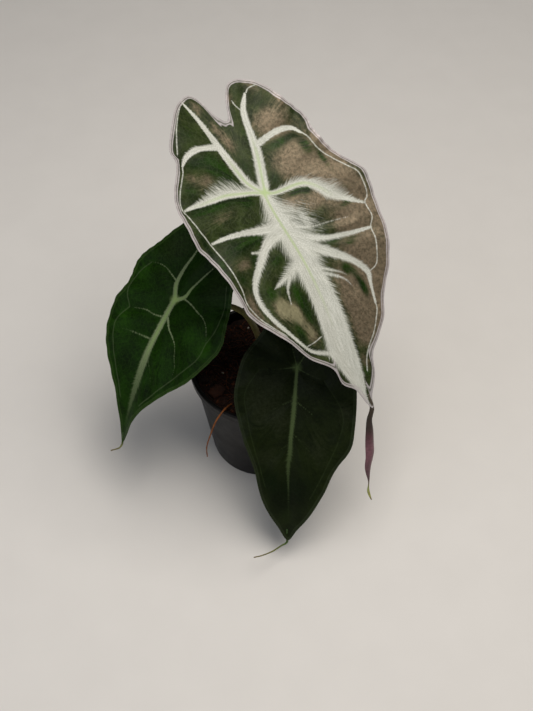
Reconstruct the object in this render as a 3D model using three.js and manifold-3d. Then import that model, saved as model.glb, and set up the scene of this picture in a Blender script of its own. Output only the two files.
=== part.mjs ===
// Potted alocasia: three arrow-shaped leaves on their stems, a crown, soil and a nursery pot.
// Millimetres, +Z up. The origin is the middle of the pot's base and the viewer stands at -Y.
import * as THREE from 'three';
import { mergeVertices } from 'three/addons/utils/BufferGeometryUtils.js';
import Module from 'manifold-3d';

const wasm = await Module();
wasm.setup();

const clearance = 0.3;

const pot = {
  rimRadius: 60,
  baseRadius: 44,
  height: 105.6,
  wall: 1.6,
  floor: 2.4,
  rimBand: 8,
  rimOverhang: 2.4,
  sides: 56,
  drainHoles: 8,
  drainRing: 33,
  drainRadius: 3.5,
};

const soil = {
  belowRim: 9,
  lump: 1.3,
  rings: 9,
  sides: 40,
  chips: 22,
  chipSize: [3.5, 8],
};

const crown = {
  place: [3.5, 8],
  bottom: 72,
  top: 107,
  footRadius: 7,
  bellyRadius: 12,
  neckRadius: 9,
  sides: 24,
};

// A leaf's own places are [along the midrib from the stem towards the tip, across it].
// Its blade leaves the stem at a droop below the horizontal that grows towards the tip.
const leaves = {
  large: {
    seat: [2.4, 20, 275],
    heading: 40,
    droop: [30, 62],
    length: 182,
    sweep: 0,
    fold: 0.3,
    sag: 0.0015,
    waves: 11,
    waveHeight: 1.8,
    sides: 80,
    rings: 8,
    ribSteps: 7,
    outline: [
      [182, 0], [171, 3], [156, 10], [139, 15], [122, 31], [104, 42], [91, 52], [72, 61], [55, 66],
      [38, 70], [22, 71], [8, 64], [-17, 55], [-34, 57], [-53, 48], [-70, 41], [-79, 31], [-80, 21],
      [-71, 13], [-57, 6], [-64, 1], [-83, -4], [-87, -12], [-79, -28], [-58, -47], [-47, -49],
      [-29, -64], [-12, -70], [10, -73], [25, -69], [57, -66], [70, -64], [98, -47], [115, -38],
      [134, -21], [149, -18], [161, -8],
    ],
    midribRadius: [2.4, 0.7],
    veinRadius: [1.3, 0.6],
    veins: [
      [[-4, -2], [-33, -13], [-54, -12], [-80, -14]],
      [[-38, -13], [-50, -26], [-49, -38], [-42, -44]],
      [[-4, 2], [-21, 9], [-47, 19], [-68, 29]],
      [[-34, 14], [-35, 33], [-28, 45], [-8, 49], [10, 57]],
      [[-2, -3], [-10, -20], [-13, -36], [-15, -60]],
      [[0, 3], [7, 31], [17, 36], [38, 56]],
      [[26, 2], [42, 20], [56, 52]],
      [[24, -2], [18, -28], [13, -56]],
      [[32, -2], [35, -26], [54, -47], [74, -52], [100, -40]],
      [[50, 2], [64, 20], [80, 33], [104, 33], [124, 22]],
    ],
    tail: [
      { beyond: [0, 0, 0], half: 1.9, turn: 20 },
      { beyond: [-0.8, -4, -11], half: 1.6, turn: 60 },
      { beyond: [-0.9, -7, -23], half: 1.5, turn: 100 },
      { beyond: [-0.5, -10, -35], half: 3, turn: 40 },
      { beyond: [0.6, -12.5, -47], half: 3.7, turn: 10 },
      { beyond: [0.3, -14.5, -60], half: 2.8, turn: -20 },
      { beyond: [0.4, -16.5, -74], half: 1.2, turn: -60 },
      { beyond: [1.4, -18, -85], half: 1.6, turn: -90 },
      { beyond: [4.9, -20, -100], half: 0.7, turn: -90 },
    ],
    stalk: [-0.1, -0.3, 0.95],
    stem: [[5, 15, 95], [6.5, 20, 135], [7, 26, 180], [6, 27, 225]],
    stemRadius: [4, 2.6],
  },
  left: {
    seat: [-67.8, 8, 173.2],
    heading: -40,
    droop: [33, 68],
    length: 129,
    sweep: 8,
    fold: 0.15,
    sag: 0.0015,
    waves: 9,
    waveHeight: 1.3,
    sides: 54,
    rings: 6,
    ribSteps: 5,
    outline: [
      [129, 0], [118, 5], [105, 8], [90, 15], [66, 31], [45, 47], [23, 55], [8, 57], [-7, 51],
      [-24, 43], [-44, 35], [-60, 27], [-70, 18], [-66, 9], [-45, 1], [-64, -6], [-71, -13],
      [-66, -21], [-51, -29], [-30, -39], [-8, -45], [10, -42], [25, -45], [43, -43], [57, -36],
      [75, -25], [93, -14], [110, -6],
    ],
    midribRadius: [1.9, 0.6],
    veinRadius: [1, 0.5],
    veins: [
      [[-3, -2], [-14, -8], [-42, -9], [-58, -15]],
      [[-14, -9], [-16, -20], [-16, -34]],
      [[-3, 2], [-14, 10], [-38, 14], [-56, 20]],
      [[-1, 3], [-3, 16], [2, 34], [10, 44]],
      [[15, -1], [19, -18], [26, -36]],
      [[16, 1], [28, 20], [44, 34]],
      [[36, -1], [39, -17], [46, -34]],
      [[40, 1], [56, 14], [70, 22]],
    ],
    tail: [
      { beyond: [0, 0, 0], half: 0.9, turn: 0 },
      { beyond: [-0.8, -1.6, -2.5], half: 0.8, turn: 0 },
      { beyond: [-3, -4, -3.6], half: 0.6, turn: 0 },
      { beyond: [-9.2, -7, -2.6], half: 0.5, turn: 0 },
    ],
    stalk: [-0.8, -0.1, 0.6],
    stem: [[-2.5, 8, 95], [-2.5, 8, 122], [-9, 8.5, 146], [-18, 8.5, 160], [-32, 8.5, 166]],
    stemRadius: [2.9, 2],
  },
  front: {
    seat: [26.8, -36, 144],
    heading: -8,
    droop: [42, 68],
    length: 148,
    sweep: 5,
    fold: 0.15,
    sag: 0.0015,
    waves: 10,
    waveHeight: 1.5,
    sides: 54,
    rings: 7,
    ribSteps: 5,
    outline: [
      [148, 0], [136, 8], [122, 17], [100, 28], [79, 36], [59, 47], [41, 49], [16, 48], [-8, 44],
      [-28, 36], [-44, 26], [-52, 16], [-46, 8], [-26, 2], [-44, -4], [-50, -11], [-44, -20],
      [-24, -30], [-4, -42], [18, -46], [36, -45], [60, -37], [83, -28], [114, -20], [134, -9],
    ],
    midribRadius: [2, 0.6],
    veinRadius: [1, 0.5],
    veins: [
      [[-3, -2], [-20, -9], [-42, -13]],
      [[-3, 2], [-20, 11], [-42, 18]],
      [[-1, -3], [0, -16], [6, -34]],
      [[-1, 3], [0, 17], [6, 38]],
      [[24, -1], [34, -18], [46, -34]],
      [[24, 1], [34, 20], [50, 38]],
      [[52, -1], [62, -14], [76, -25]],
      [[52, 1], [62, 16], [80, 30]],
    ],
    tail: [
      { beyond: [0, 0, 0], half: 1, turn: 0 },
      { beyond: [-0.8, -1.6, -3], half: 0.9, turn: 0 },
      { beyond: [-4.8, -4, -3.3], half: 0.7, turn: 0 },
      { beyond: [-11.8, -9.5, -2.3], half: 0.6, turn: 0 },
      { beyond: [-19.8, -14.5, 0.2], half: 0.5, turn: 0 },
      { beyond: [-27, -17.5, 2.2], half: 0.45, turn: 0 },
    ],
    stalk: [0.45, -0.55, 0.7],
    stem: [[9, 2, 95], [11, -3, 109], [16, -16, 125]],
    stemRadius: [3, 2.2],
  },
};

const blade = {
  thickness: 1.2,
  edgeThickness: 0.8,
  grooveDepth: 1.1,
  grooveWidth: 5,
  creaseRadius: 6,
  stalkLength: 8,
};

const strand = {
  radius: 0.8,
  path: [[-24, -34, 94], [-27, -41, 100], [-30.9, -51, 107.3], [-36.8, -57.4, 101.5], [-41.5, -58.5, 85],
    [-45.4, -57, 65], [-45.7, -56, 49]],
};

const looks = {
  pot: { color: '#17181a', roughness: 0.35 },
  soil: { color: '#3b2217', roughness: 0.95 },
  crown: { color: '#6f6a3c', roughness: 0.6 },
  stem: { color: '#8c7f4a', roughness: 0.5 },
  leafLarge: { color: '#6d7466', roughness: 0.4 },
  leafDark: { color: '#1f3a16', roughness: 0.45 },
  strand: { color: '#a5622c', roughness: 0.8 },
};

// Solids and meshes

function toSolid(geometry) {
  const bare = geometry.clone();
  bare.deleteAttribute('normal');
  bare.deleteAttribute('uv');
  const merged = mergeVertices(bare, 1e-4);
  return new wasm.Manifold(new wasm.Mesh({
    numProp: 3,
    vertProperties: new Float32Array(merged.attributes.position.array),
    triVerts: new Uint32Array(merged.index.array),
  }));
}

function toGeometry(solid) {
  const mesh = solid.getMesh();
  const geometry = new THREE.BufferGeometry();
  geometry.setAttribute('position', new THREE.BufferAttribute(mesh.vertProperties, 3));
  geometry.setIndex(new THREE.BufferAttribute(mesh.triVerts, 1));
  geometry.computeVertexNormals();
  return geometry;
}

function namedMesh(name, solid, look) {
  const mesh = new THREE.Mesh(toGeometry(solid), new THREE.MeshStandardMaterial({ ...look, metalness: 0 }));
  mesh.name = name;
  return mesh;
}

function fromLists(points, triangles) {
  const geometry = new THREE.BufferGeometry();
  const numbers = points.flatMap((p) => p.toArray());
  geometry.setAttribute('position', new THREE.Float32BufferAttribute(numbers, 3));
  geometry.setIndex(triangles.flat());
  return geometry;
}

// Closed skin over equal rings of points, with a flat fan on each end
function skin(rings) {
  const count = rings[0].length;
  const triangles = [];
  for (let j = 0; j + 1 < rings.length; j += 1) {
    for (let i = 0; i < count; i += 1) {
      const next = (i + 1) % count;
      const [a, b] = [j * count + i, j * count + next];
      triangles.push([a, b, b + count], [a, b + count, a + count]);
    }
  }
  const last = (rings.length - 1) * count;
  for (let i = 1; i + 1 < count; i += 1) {
    triangles.push([0, i + 1, i], [last, last + i, last + i + 1]);
  }
  return toSolid(fromLists(rings.flat(), triangles));
}

const vector = (p) => new THREE.Vector3(...p);
const blend = ([from, to], t) => from + (to - from) * t;

// Round rod along a list of points, whose radius runs from the first value to the second
function rod(path, radius, sides, steps) {
  const curve = new THREE.CatmullRomCurve3(path, false, 'catmullrom');
  const frames = curve.computeFrenetFrames(steps, false);
  const rings = [];
  for (let j = 0; j <= steps; j += 1) {
    const centre = curve.getPointAt(j / steps);
    const r = blend(radius, j / steps);
    const ring = [];
    for (let i = 0; i < sides; i += 1) {
      const angle = 2 * Math.PI * i / sides;
      ring.push(centre.clone()
        .addScaledVector(frames.normals[j], r * Math.cos(angle))
        .addScaledVector(frames.binormals[j], r * Math.sin(angle)));
    }
    rings.push(ring);
  }
  return skin(rings);
}

// Leaves

function leafDirections(leaf) {
  const heading = THREE.MathUtils.degToRad(leaf.heading);
  return {
    forward: new THREE.Vector3(Math.sin(heading), -Math.cos(heading), 0),
    across: new THREE.Vector3(Math.cos(heading), Math.sin(heading), 0),
    droop: leaf.droop.map(THREE.MathUtils.degToRad),
  };
}

function smoothLine(points, closed, count) {
  const flat = points.map(([s, w]) => new THREE.Vector3(s, w, 0));
  const curve = new THREE.CatmullRomCurve3(flat, closed, 'catmullrom');
  return curve.getSpacedPoints(count).slice(0, closed ? count : count + 1).map((p) => [p.x, p.y]);
}

function distanceToLine([s, w], line) {
  let best = Infinity;
  for (let i = 0; i + 1 < line.length; i += 1) {
    const [[s0, w0], [s1, w1]] = [line[i], line[i + 1]];
    const [ds, dw] = [s1 - s0, w1 - w0];
    const t = THREE.MathUtils.clamp(((s - s0) * ds + (w - w0) * dw) / (ds * ds + dw * dw), 0, 1);
    best = Math.min(best, Math.hypot(s - s0 - t * ds, w - w0 - t * dw));
  }
  return best;
}

// How far out from the stem a place lies: 0 at the stem and 1 at the blade's edge
function shareToEdge([s, w], edge) {
  for (let i = 0; i < edge.length; i += 1) {
    const [[s0, w0], [s1, w1]] = [edge[i], edge[(i + 1) % edge.length]];
    const area = s0 * w1 - s1 * w0;
    const before = (s0 * w - s * w0) / area;
    const after = (s * w1 - s1 * w) / area;
    if (before >= 0 && after >= 0) return before + after;
  }
  return 0;
}

// Middle surface of a blade: returns the point and the way its top faces
function bladeSurface(leaf, edge, lines) {
  const { forward, across, droop } = leafDirections(leaf);
  const seat = vector(leaf.seat);
  const bend = (droop[1] - droop[0]) / leaf.length;
  return ([s, w]) => {
    const angle = droop[0] + bend * Math.max(s, 0);
    const [run, fall] = s > 0
      ? [(Math.sin(angle) - Math.sin(droop[0])) / bend, (Math.cos(droop[0]) - Math.cos(angle)) / bend]
      : [s * Math.cos(droop[0]), s * Math.sin(droop[0])];
    const up = forward.clone().multiplyScalar(Math.sin(angle));
    up.z = Math.cos(angle);
    const share = shareToEdge([s, w], edge);
    const crease = Math.hypot(w, blade.creaseRadius) - blade.creaseRadius;
    const nearest = Math.min(...lines.map((line) => distanceToLine([s, w], line)));
    const groove = blade.grooveDepth * Math.exp(-((nearest / blade.grooveWidth) ** 2));
    const wave = leaf.waveHeight * share ** 3 * Math.sin(leaf.waves * Math.atan2(w, s));
    const height = leaf.fold * crease - leaf.sag * w * w - groove + wave;
    const sideways = w + leaf.sweep * (Math.max(s, 0) / leaf.length) ** 2;
    const point = seat.clone()
      .addScaledVector(forward, run)
      .addScaledVector(across, sideways)
      .addScaledVector(up, height);
    point.z -= fall;
    return { point, up, share };
  };
}

// Blade with the same triangles on its top and its underside
function bladeSolid(leaf, edge, surface) {
  const count = edge.length;
  const [points, triangles] = [[], []];
  const layer = (side) => {
    const first = points.length;
    const place = (s, w) => {
      const { point, up, share } = surface([s, w]);
      const half = blend([blade.thickness, blade.edgeThickness], share) / 2;
      points.push(point.addScaledVector(up, side * half));
    };
    place(0, 0);
    for (let j = 1; j <= leaf.rings; j += 1) {
      edge.forEach(([s, w]) => place(s * j / leaf.rings, w * j / leaf.rings));
    }
    const turned = (a, b, c) => triangles.push(side > 0 ? [a, b, c] : [a, c, b]);
    for (let i = 0; i < count; i += 1) {
      const next = (i + 1) % count;
      turned(first, first + 1 + i, first + 1 + next);
      for (let j = 0; j + 1 < leaf.rings; j += 1) {
        const ring = first + 1 + j * count;
        turned(ring + i, ring + count + i, ring + count + next);
        turned(ring + i, ring + count + next, ring + next);
      }
    }
    return first + 1 + (leaf.rings - 1) * count;
  };
  const [top, under] = [layer(1), layer(-1)];
  for (let i = 0; i < count; i += 1) {
    const next = (i + 1) % count;
    triangles.push([top + i, under + i, under + next], [top + i, under + next, top + next]);
  }
  return toSolid(fromLists(points, triangles));
}

// Rib under the blade along one vein, its upper part sunk in the blade
function ribSolid(line, radius, surface, sides, steps) {
  const path = smoothLine(line, false, steps).map((place, j) => {
    const { point, up } = surface(place);
    return point.addScaledVector(up, -blade.edgeThickness / 2 - blend(radius, j / steps) * 0.7);
  });
  return rod(path, radius, sides, steps);
}

// Flat strip that turns about its own length: the drip tail that runs on from the blade's tip
function tailSolid(leaf, surface) {
  const inner = surface([leaf.length * 0.93, 0]).point;
  const tip = surface([leaf.length, 0]).point;
  const tail = [leaf.tail[0], ...leaf.tail];
  const path = [inner, ...leaf.tail.map(({ beyond }) => tip.clone().add(vector(beyond)))];
  const [sides, steps, halfThickness] = [8, (tail.length - 1) * 2, 0.45];
  const curve = new THREE.CatmullRomCurve3(path, false, 'catmullrom');
  const rings = [];
  for (let j = 0; j <= steps; j += 1) {
    const t = j / steps;
    const step = Math.min(Math.floor(t * (tail.length - 1)), tail.length - 2);
    const part = t * (tail.length - 1) - step;
    const half = blend([tail[step].half, tail[step + 1].half], part);
    const turn = THREE.MathUtils.degToRad(blend([tail[step].turn, tail[step + 1].turn], part));
    const [centre, along] = [curve.getPoint(t), curve.getTangent(t)];
    const level = new THREE.Vector3(-along.y, along.x, 0);
    const wide = (level.length() > 0.05 ? level : new THREE.Vector3(1, 0, 0)).normalize();
    const flat = along.clone().cross(wide);
    const [long, short] = [wide.clone(), flat.clone()].map((axis) => axis.applyAxisAngle(along, turn));
    rings.push(Array.from({ length: sides }, (_, i) => centre.clone()
      .addScaledVector(long, half * Math.cos(2 * Math.PI * i / sides))
      .addScaledVector(short, Math.min(half, halfThickness) * Math.sin(2 * Math.PI * i / sides))));
  }
  return skin(rings);
}

function stalkEnd(leaf) {
  return vector(leaf.seat).addScaledVector(vector(leaf.stalk).normalize(), -blade.stalkLength);
}

function leafSolid(leaf) {
  const edge = smoothLine(leaf.outline, true, leaf.sides);
  const midrib = [[0, 0], [leaf.length * 0.5, 0], [leaf.length * 0.95, 0]];
  const lines = [midrib, ...leaf.veins].map((line) => smoothLine(line, false, 10));
  const surface = bladeSurface(leaf, edge, lines);
  const under = surface([0, 0]).point.addScaledVector(vector(leaf.stalk).normalize(), -0.2);
  const stalk = rod([stalkEnd(leaf), under], [leaf.stemRadius[1], leaf.stemRadius[1] * 1.1], 10, 2);
  return [
    ribSolid(midrib, leaf.midribRadius, surface, 6, leaf.ribSteps * 2),
    ...leaf.veins.map((line) => ribSolid(line, leaf.veinRadius, surface, 4, leaf.ribSteps)),
    stalk,
    tailSolid(leaf, surface),
  ].reduce((whole, piece) => whole.add(piece), bladeSolid(leaf, edge, surface));
}

function stemPath(leaf) {
  const way = vector(leaf.stalk).normalize();
  const end = stalkEnd(leaf).addScaledVector(way, -clearance);
  return [...leaf.stem.map(vector), end.clone().addScaledVector(way, -6), end];
}

function stemSolid(leaf) {
  return rod(stemPath(leaf), leaf.stemRadius, 10, 16);
}

// Crown, with a socket for each stem

function crownProfile(grow) {
  const { bottom, top, footRadius, bellyRadius, neckRadius } = crown;
  return [
    [0, bottom - grow], [footRadius + grow, bottom - grow], [bellyRadius - 1 + grow, bottom + 12],
    [bellyRadius + grow, bottom + 20], [neckRadius + 1.5 + grow, top - 6], [neckRadius + grow, top - 1],
    [neckRadius - 1.5, top + grow], [0, top + grow],
  ].map(([r, z]) => new THREE.Vector2(r, z));
}

// A lathe turns about Y, so it is turned upright here
function lathed(profile, sides) {
  const geometry = new THREE.LatheGeometry(profile, sides);
  geometry.rotateX(Math.PI / 2);
  return toSolid(geometry);
}

function crownBody(grow) {
  const [x, y] = crown.place;
  return lathed(crownProfile(grow), crown.sides).translate([x, y, 0]);
}

function crownSolid() {
  return Object.values(leaves).reduce((body, leaf) => {
    const path = stemPath(leaf);
    const floor = path[0].clone().sub(path[1]).setLength(clearance).add(path[0]);
    return body.subtract(rod([floor, ...path], leaf.stemRadius.map((r) => r + clearance + 0.1), 10, 16));
  }, crownBody(0));
}

// Soil, with a lumpy top, loose chips grown into it and a hole for the crown and the strand

function potWall(z) {
  const { rimRadius, rimOverhang, baseRadius, height } = pot;
  return blend([baseRadius, rimRadius - rimOverhang], z / height);
}

function soilTop(x, y) {
  const level = pot.height - soil.belowRim;
  const lumps = Math.sin(x * 0.31 + 1) * Math.cos(y * 0.27) + 0.7 * Math.sin(x * 0.13 - y * 0.19 + 2);
  return level + soil.lump * lumps;
}

function soilBody() {
  const wallGap = pot.wall + clearance;
  const ringAt = (share, z) => Array.from({ length: soil.sides }, (_, i) => {
    const angle = 2 * Math.PI * i / soil.sides;
    const level = pot.height - soil.belowRim;
    const radius = share * (potWall(z ?? level) - wallGap);
    const [x, y] = [radius * Math.cos(angle), radius * Math.sin(angle)];
    return new THREE.Vector3(x, y, z ?? soilTop(x, y));
  });
  const rings = [ringAt(1, pot.floor), ringAt(1, pot.height * 0.5)];
  for (let j = soil.rings; j > 0; j -= 1) {
    rings.push(ringAt(j / soil.rings));
  }
  return skin(rings);
}

function randomFrom(seed) {
  let state = seed;
  return () => {
    state = (state * 16807) % 2147483647;
    return state / 2147483647;
  };
}

// Rough chips of bark and coir, each an uneven low-sided lump half sunk in the soil
function soilChips() {
  const random = randomFrom(7105);
  const chips = [];
  while (chips.length < soil.chips) {
    const radius = 48 * Math.sqrt(random());
    const angle = 2 * Math.PI * random();
    const [x, y] = [radius * Math.cos(angle), radius * Math.sin(angle)];
    const size = blend(soil.chipSize, random() ** 2) / 2;
    const chip = new THREE.IcosahedronGeometry(size, 0);
    chip.scale(1, 0.5 + 0.5 * random(), 0.35 + 0.3 * random());
    chip.rotateX(0.8 * random() - 0.4);
    chip.rotateZ(2 * Math.PI * random());
    chip.translate(x, y, soilTop(x, y) + size * 0.1);
    if (Math.hypot(x - crown.place[0], y - crown.place[1]) > crown.bellyRadius + size) {
      chips.push(toSolid(chip));
    }
  }
  return chips;
}

function strandSolid(grow) {
  const radius = strand.radius + grow;
  return rod(strand.path.map(vector), [radius, radius * 0.8], 6, 20);
}

function soilSolid() {
  const whole = soilChips().reduce((body, chip) => body.add(chip), soilBody());
  return whole.subtract(crownBody(clearance)).subtract(strandSolid(clearance));
}

// Pot: a closed profile turned about the pot's axis, and round drain holes near the edge of its floor

function potSolid() {
  const { rimRadius, rimBand, rimOverhang, baseRadius, height, wall, floor, sides } = pot;
  const under = height - rimBand;
  const profile = [
    [0, 0], [baseRadius - 1, 0], [baseRadius, 1], [potWall(under), under],
    [rimRadius - 0.6, under], [rimRadius, height - 1.2], [rimRadius - 0.8, height],
    [rimRadius - rimOverhang + 0.4, height], [rimRadius - rimOverhang - wall + 0.3, height - 1.4],
    [potWall(under) - wall, under], [potWall(floor) - wall, floor], [0, floor],
  ].map(([r, z]) => new THREE.Vector2(r, z));
  let solid = lathed(profile, sides);
  for (let i = 0; i < pot.drainHoles; i += 1) {
    const angle = 2 * Math.PI * (i + 0.5) / pot.drainHoles;
    const hole = new THREE.CylinderGeometry(pot.drainRadius, pot.drainRadius, floor * 3, 12);
    hole.rotateX(Math.PI / 2);
    hole.translate(pot.drainRing * Math.cos(angle), pot.drainRing * Math.sin(angle), 0);
    solid = solid.subtract(toSolid(hole));
  }
  return solid;
}

const plant = new THREE.Group();
plant.add(
  namedMesh('pot', potSolid(), looks.pot),
  namedMesh('soil', soilSolid(), looks.soil),
  namedMesh('crown', crownSolid(), looks.crown),
  namedMesh('coir_strand', strandSolid(0), looks.strand),
);
for (const [name, leaf] of Object.entries(leaves)) {
  plant.add(
    namedMesh(`stem_${name}`, stemSolid(leaf), looks.stem),
    namedMesh(`leaf_${name}`, leafSolid(leaf), name === 'large' ? looks.leafLarge : looks.leafDark),
  );
}

export default plant;
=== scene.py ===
import functools
import math
import random

import bpy
import numpy as np
from mathutils import Matrix, Vector, noise


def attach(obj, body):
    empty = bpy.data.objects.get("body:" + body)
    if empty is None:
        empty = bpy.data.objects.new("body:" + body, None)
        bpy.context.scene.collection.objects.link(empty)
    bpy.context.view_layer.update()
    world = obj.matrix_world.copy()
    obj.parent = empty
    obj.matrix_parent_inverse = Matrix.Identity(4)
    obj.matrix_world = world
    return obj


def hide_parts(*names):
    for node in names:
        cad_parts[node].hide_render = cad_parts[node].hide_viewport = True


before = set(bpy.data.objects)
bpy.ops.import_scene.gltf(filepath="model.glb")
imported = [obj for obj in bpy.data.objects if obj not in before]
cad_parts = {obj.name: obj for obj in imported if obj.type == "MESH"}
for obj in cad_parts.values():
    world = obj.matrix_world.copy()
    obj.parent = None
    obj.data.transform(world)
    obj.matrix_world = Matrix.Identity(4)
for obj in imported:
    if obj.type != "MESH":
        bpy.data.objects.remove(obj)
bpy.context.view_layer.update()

mm = 0.001
softly = {"interpolation_type": "SMOOTHSTEP"}
colours = {"data_type": "RGBA"}
product = {"operation": "MULTIPLY"}
fused = {"operation": "MULTIPLY_ADD"}

# Shader nodes and materials


def srgb(hexColour):
    # hex as picked on a screen, turned to the linear values that shaders use
    parts = [int(hexColour[i:i + 2], 16) / 255 for i in (1, 3, 5)]
    linear = [p / 12.92 if p <= 0.04045 else ((p + 0.055) / 1.055) ** 2.4 for p in parts]
    return (*linear, 1.0)


def addNode(tree, kind, *values, output=0, stops=(), **settings):
    # values fill the node's sockets in order; a name with a capital is a socket, any other a setting
    node = tree.nodes.new("ShaderNode" + kind)
    for name, value in settings.items():
        if name[0].islower():
            setattr(node, name, value)
    named = [(node.inputs[name.replace("_", " ")], value) for name, value in settings.items()
             if name[0].isupper()]
    for socket, value in [*zip([s for s in node.inputs if s.enabled], values), *named]:
        if isinstance(value, bpy.types.NodeSocket):
            tree.links.new(value, socket)
        else:
            socket.default_value = value
    if stops:
        elements = node.color_ramp.elements
        elements[0].color, elements[-1].color = srgb(stops[0][1]), srgb(stops[-1][1])
        for place, colour in stops[1:-1]:
            elements.new(place).color = srgb(colour)
    return [s for s in node.outputs if s.enabled][output]


def newMaterial(name, **surface):
    # fixed values go on the shader's own sockets
    material = bpy.data.materials.new(name)
    material.use_nodes = True
    shader = material.node_tree.nodes["Principled BSDF"]
    for key, value in surface.items():
        shader.inputs[key.replace("_", " ")].default_value = value
    return material, functools.partial(addNode, material.node_tree)


def dress(material, relief, depth, strength, **varied):
    # varied are the sockets that a pattern drives; relief is a height whose full depth is in millimetres
    tree = material.node_tree
    shader = tree.nodes["Principled BSDF"]
    varied["Normal"] = addNode(tree, "Bump", Strength=strength, Distance=depth * mm, Height=relief)
    for key, value in varied.items():
        tree.links.new(value, shader.inputs[key.replace("_", " ")])
    return material


# Meshes


def makePiece(name, points, faces, materials, faceMaterial=None, attributes=None, crest=()):
    # crest is the run of points whose edges stay sharp in a smooth shading
    mesh = bpy.data.meshes.new(name)
    mesh.from_pydata([tuple(p) for p in points], [], faces)
    for material in materials:
        mesh.materials.append(material)
    if faceMaterial is not None:
        mesh.polygons.foreach_set("material_index", np.asarray(faceMaterial, dtype=np.int32))
    for key, values in (attributes or {}).items():
        layer = mesh.attributes.new(key, "FLOAT_VECTOR", "POINT")
        layer.data.foreach_set("vector", np.asarray(values, dtype=np.float32).ravel())
    mesh.polygons.foreach_set("use_smooth", [True] * len(mesh.polygons))
    mesh.update()
    if crest:
        ends = np.empty(len(mesh.edges) * 2, dtype=np.int32)
        mesh.edges.foreach_get("vertices", ends)
        sharp = ((ends >= crest[0]) & (ends < crest[1])).reshape(-1, 2).all(axis=1)
        mesh.attributes.new("sharp_edge", "BOOLEAN", "EDGE").data.foreach_set("value", sharp)
    piece = bpy.data.objects.new(name, mesh)
    bpy.context.scene.collection.objects.link(piece)
    return piece


def standFor(piece, node):
    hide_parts(node)
    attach(piece, "root")


def smoothLine(points, count, closed=False, measured=3):
    # Catmull-Rom line cut into equal lengths; columns past the measured ones are only carried along
    known = np.asarray(points, dtype=float)
    if closed:
        known = np.vstack([known[-1], known, known[:2]])
    else:
        known = np.vstack([2 * known[0] - known[1], known, 2 * known[-1] - known[-2]])
    t = np.linspace(0, 1, 24, endpoint=False)[:, None]
    spans = []
    for i in range(len(known) - 3):
        a, b, c, d = known[i:i + 4]
        spans.append(0.5 * (2 * b + (c - a) * t + (2 * a - 5 * b + 4 * c - d) * t ** 2
                            + (3 * b - a - 3 * c + d) * t ** 3))
    dense = np.vstack(spans + [known[-2][None]])
    steps = np.linalg.norm(np.diff(dense[:, :measured], axis=0), axis=1)
    reach = np.concatenate([[0], np.cumsum(steps)])
    wanted = np.linspace(0, reach[-1], count, endpoint=not closed)
    return np.stack([np.interp(wanted, reach, column) for column in dense.T], axis=1)


def sweepRings(path, radii, sides, flat=None, turns=None, cup=0.0):
    # rings across a path; flat is each ring's second radius, turns its turn in radians, cup its hollowness
    path = np.asarray(path)
    along = np.gradient(path, axis=0)
    along /= np.linalg.norm(along, axis=1)[:, None]
    side = np.cross(along[0], [0.0, 0.0, 1.0])
    if np.linalg.norm(side) < 0.2:
        side = np.cross(along[0], [0.0, 1.0, 0.0])
    angles = np.linspace(0, 2 * math.pi, sides, endpoint=False)[:, None]
    flat = radii if flat is None else flat
    turns = np.zeros(len(path)) if turns is None else turns
    rings = []
    for centre, way, wideRadius, thinRadius, turn in zip(path, along, radii, flat, turns):
        side = side - way * side.dot(way)
        side /= np.linalg.norm(side)
        other = np.cross(way, side)
        wide = side * math.cos(turn) + other * math.sin(turn)
        thin = other * math.cos(turn) - side * math.sin(turn)
        rings.append(centre + np.cos(angles) * wideRadius * wide
                     + (np.sin(angles) * thinRadius + cup * wideRadius * np.cos(angles) ** 2) * thin)
    return np.array(rings)


def ringFaces(ringCount, sides, first=0, ends=True):
    faces = []
    for j in range(ringCount - 1):
        for i in range(sides):
            a, b = first + j * sides + i, first + j * sides + (i + 1) % sides
            faces.append((a, b, b + sides, a + sides))
    if ends:
        last = first + (ringCount - 1) * sides
        faces.append(tuple(first + i for i in reversed(range(sides))))
        faces.append(tuple(last + i for i in range(sides)))
    return faces


# Leaf blades. A place on a blade is [along the midrib from the stem to the tip, across it] in millimetres.
# A patch is [along, across, its two half sizes, strength].

blade = {"thickness": 1.2, "edgeThickness": 0.35, "grooveDepth": 1.1, "grooveWidth": 5, "creaseRadius": 6,
         "stalkLength": 8, "crimp": 0.35, "bulge": 0.55, "bulgeWidth": 11, "ringCrowding": 0.86,
         "tailStart": 0.93}


def makeVein(*stations, fringe=1, lean=0.5, green=0, rib=0.8):
    # stations are [along, across, half width of the pale stripe, length of its feathery fringe to the left
    # of the vein's run and to the right]; a half width under 0 gives a fainter line. lean tilts the fringe
    # to the vein's end, green is how far from the stem its middle stays green, rib its height underneath
    rows = [(*station[:3], *(station[3:] or (fringe, fringe))) for station in stations]
    return {"stations": rows, "lean": lean, "green": green, "rib": rib}


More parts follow.
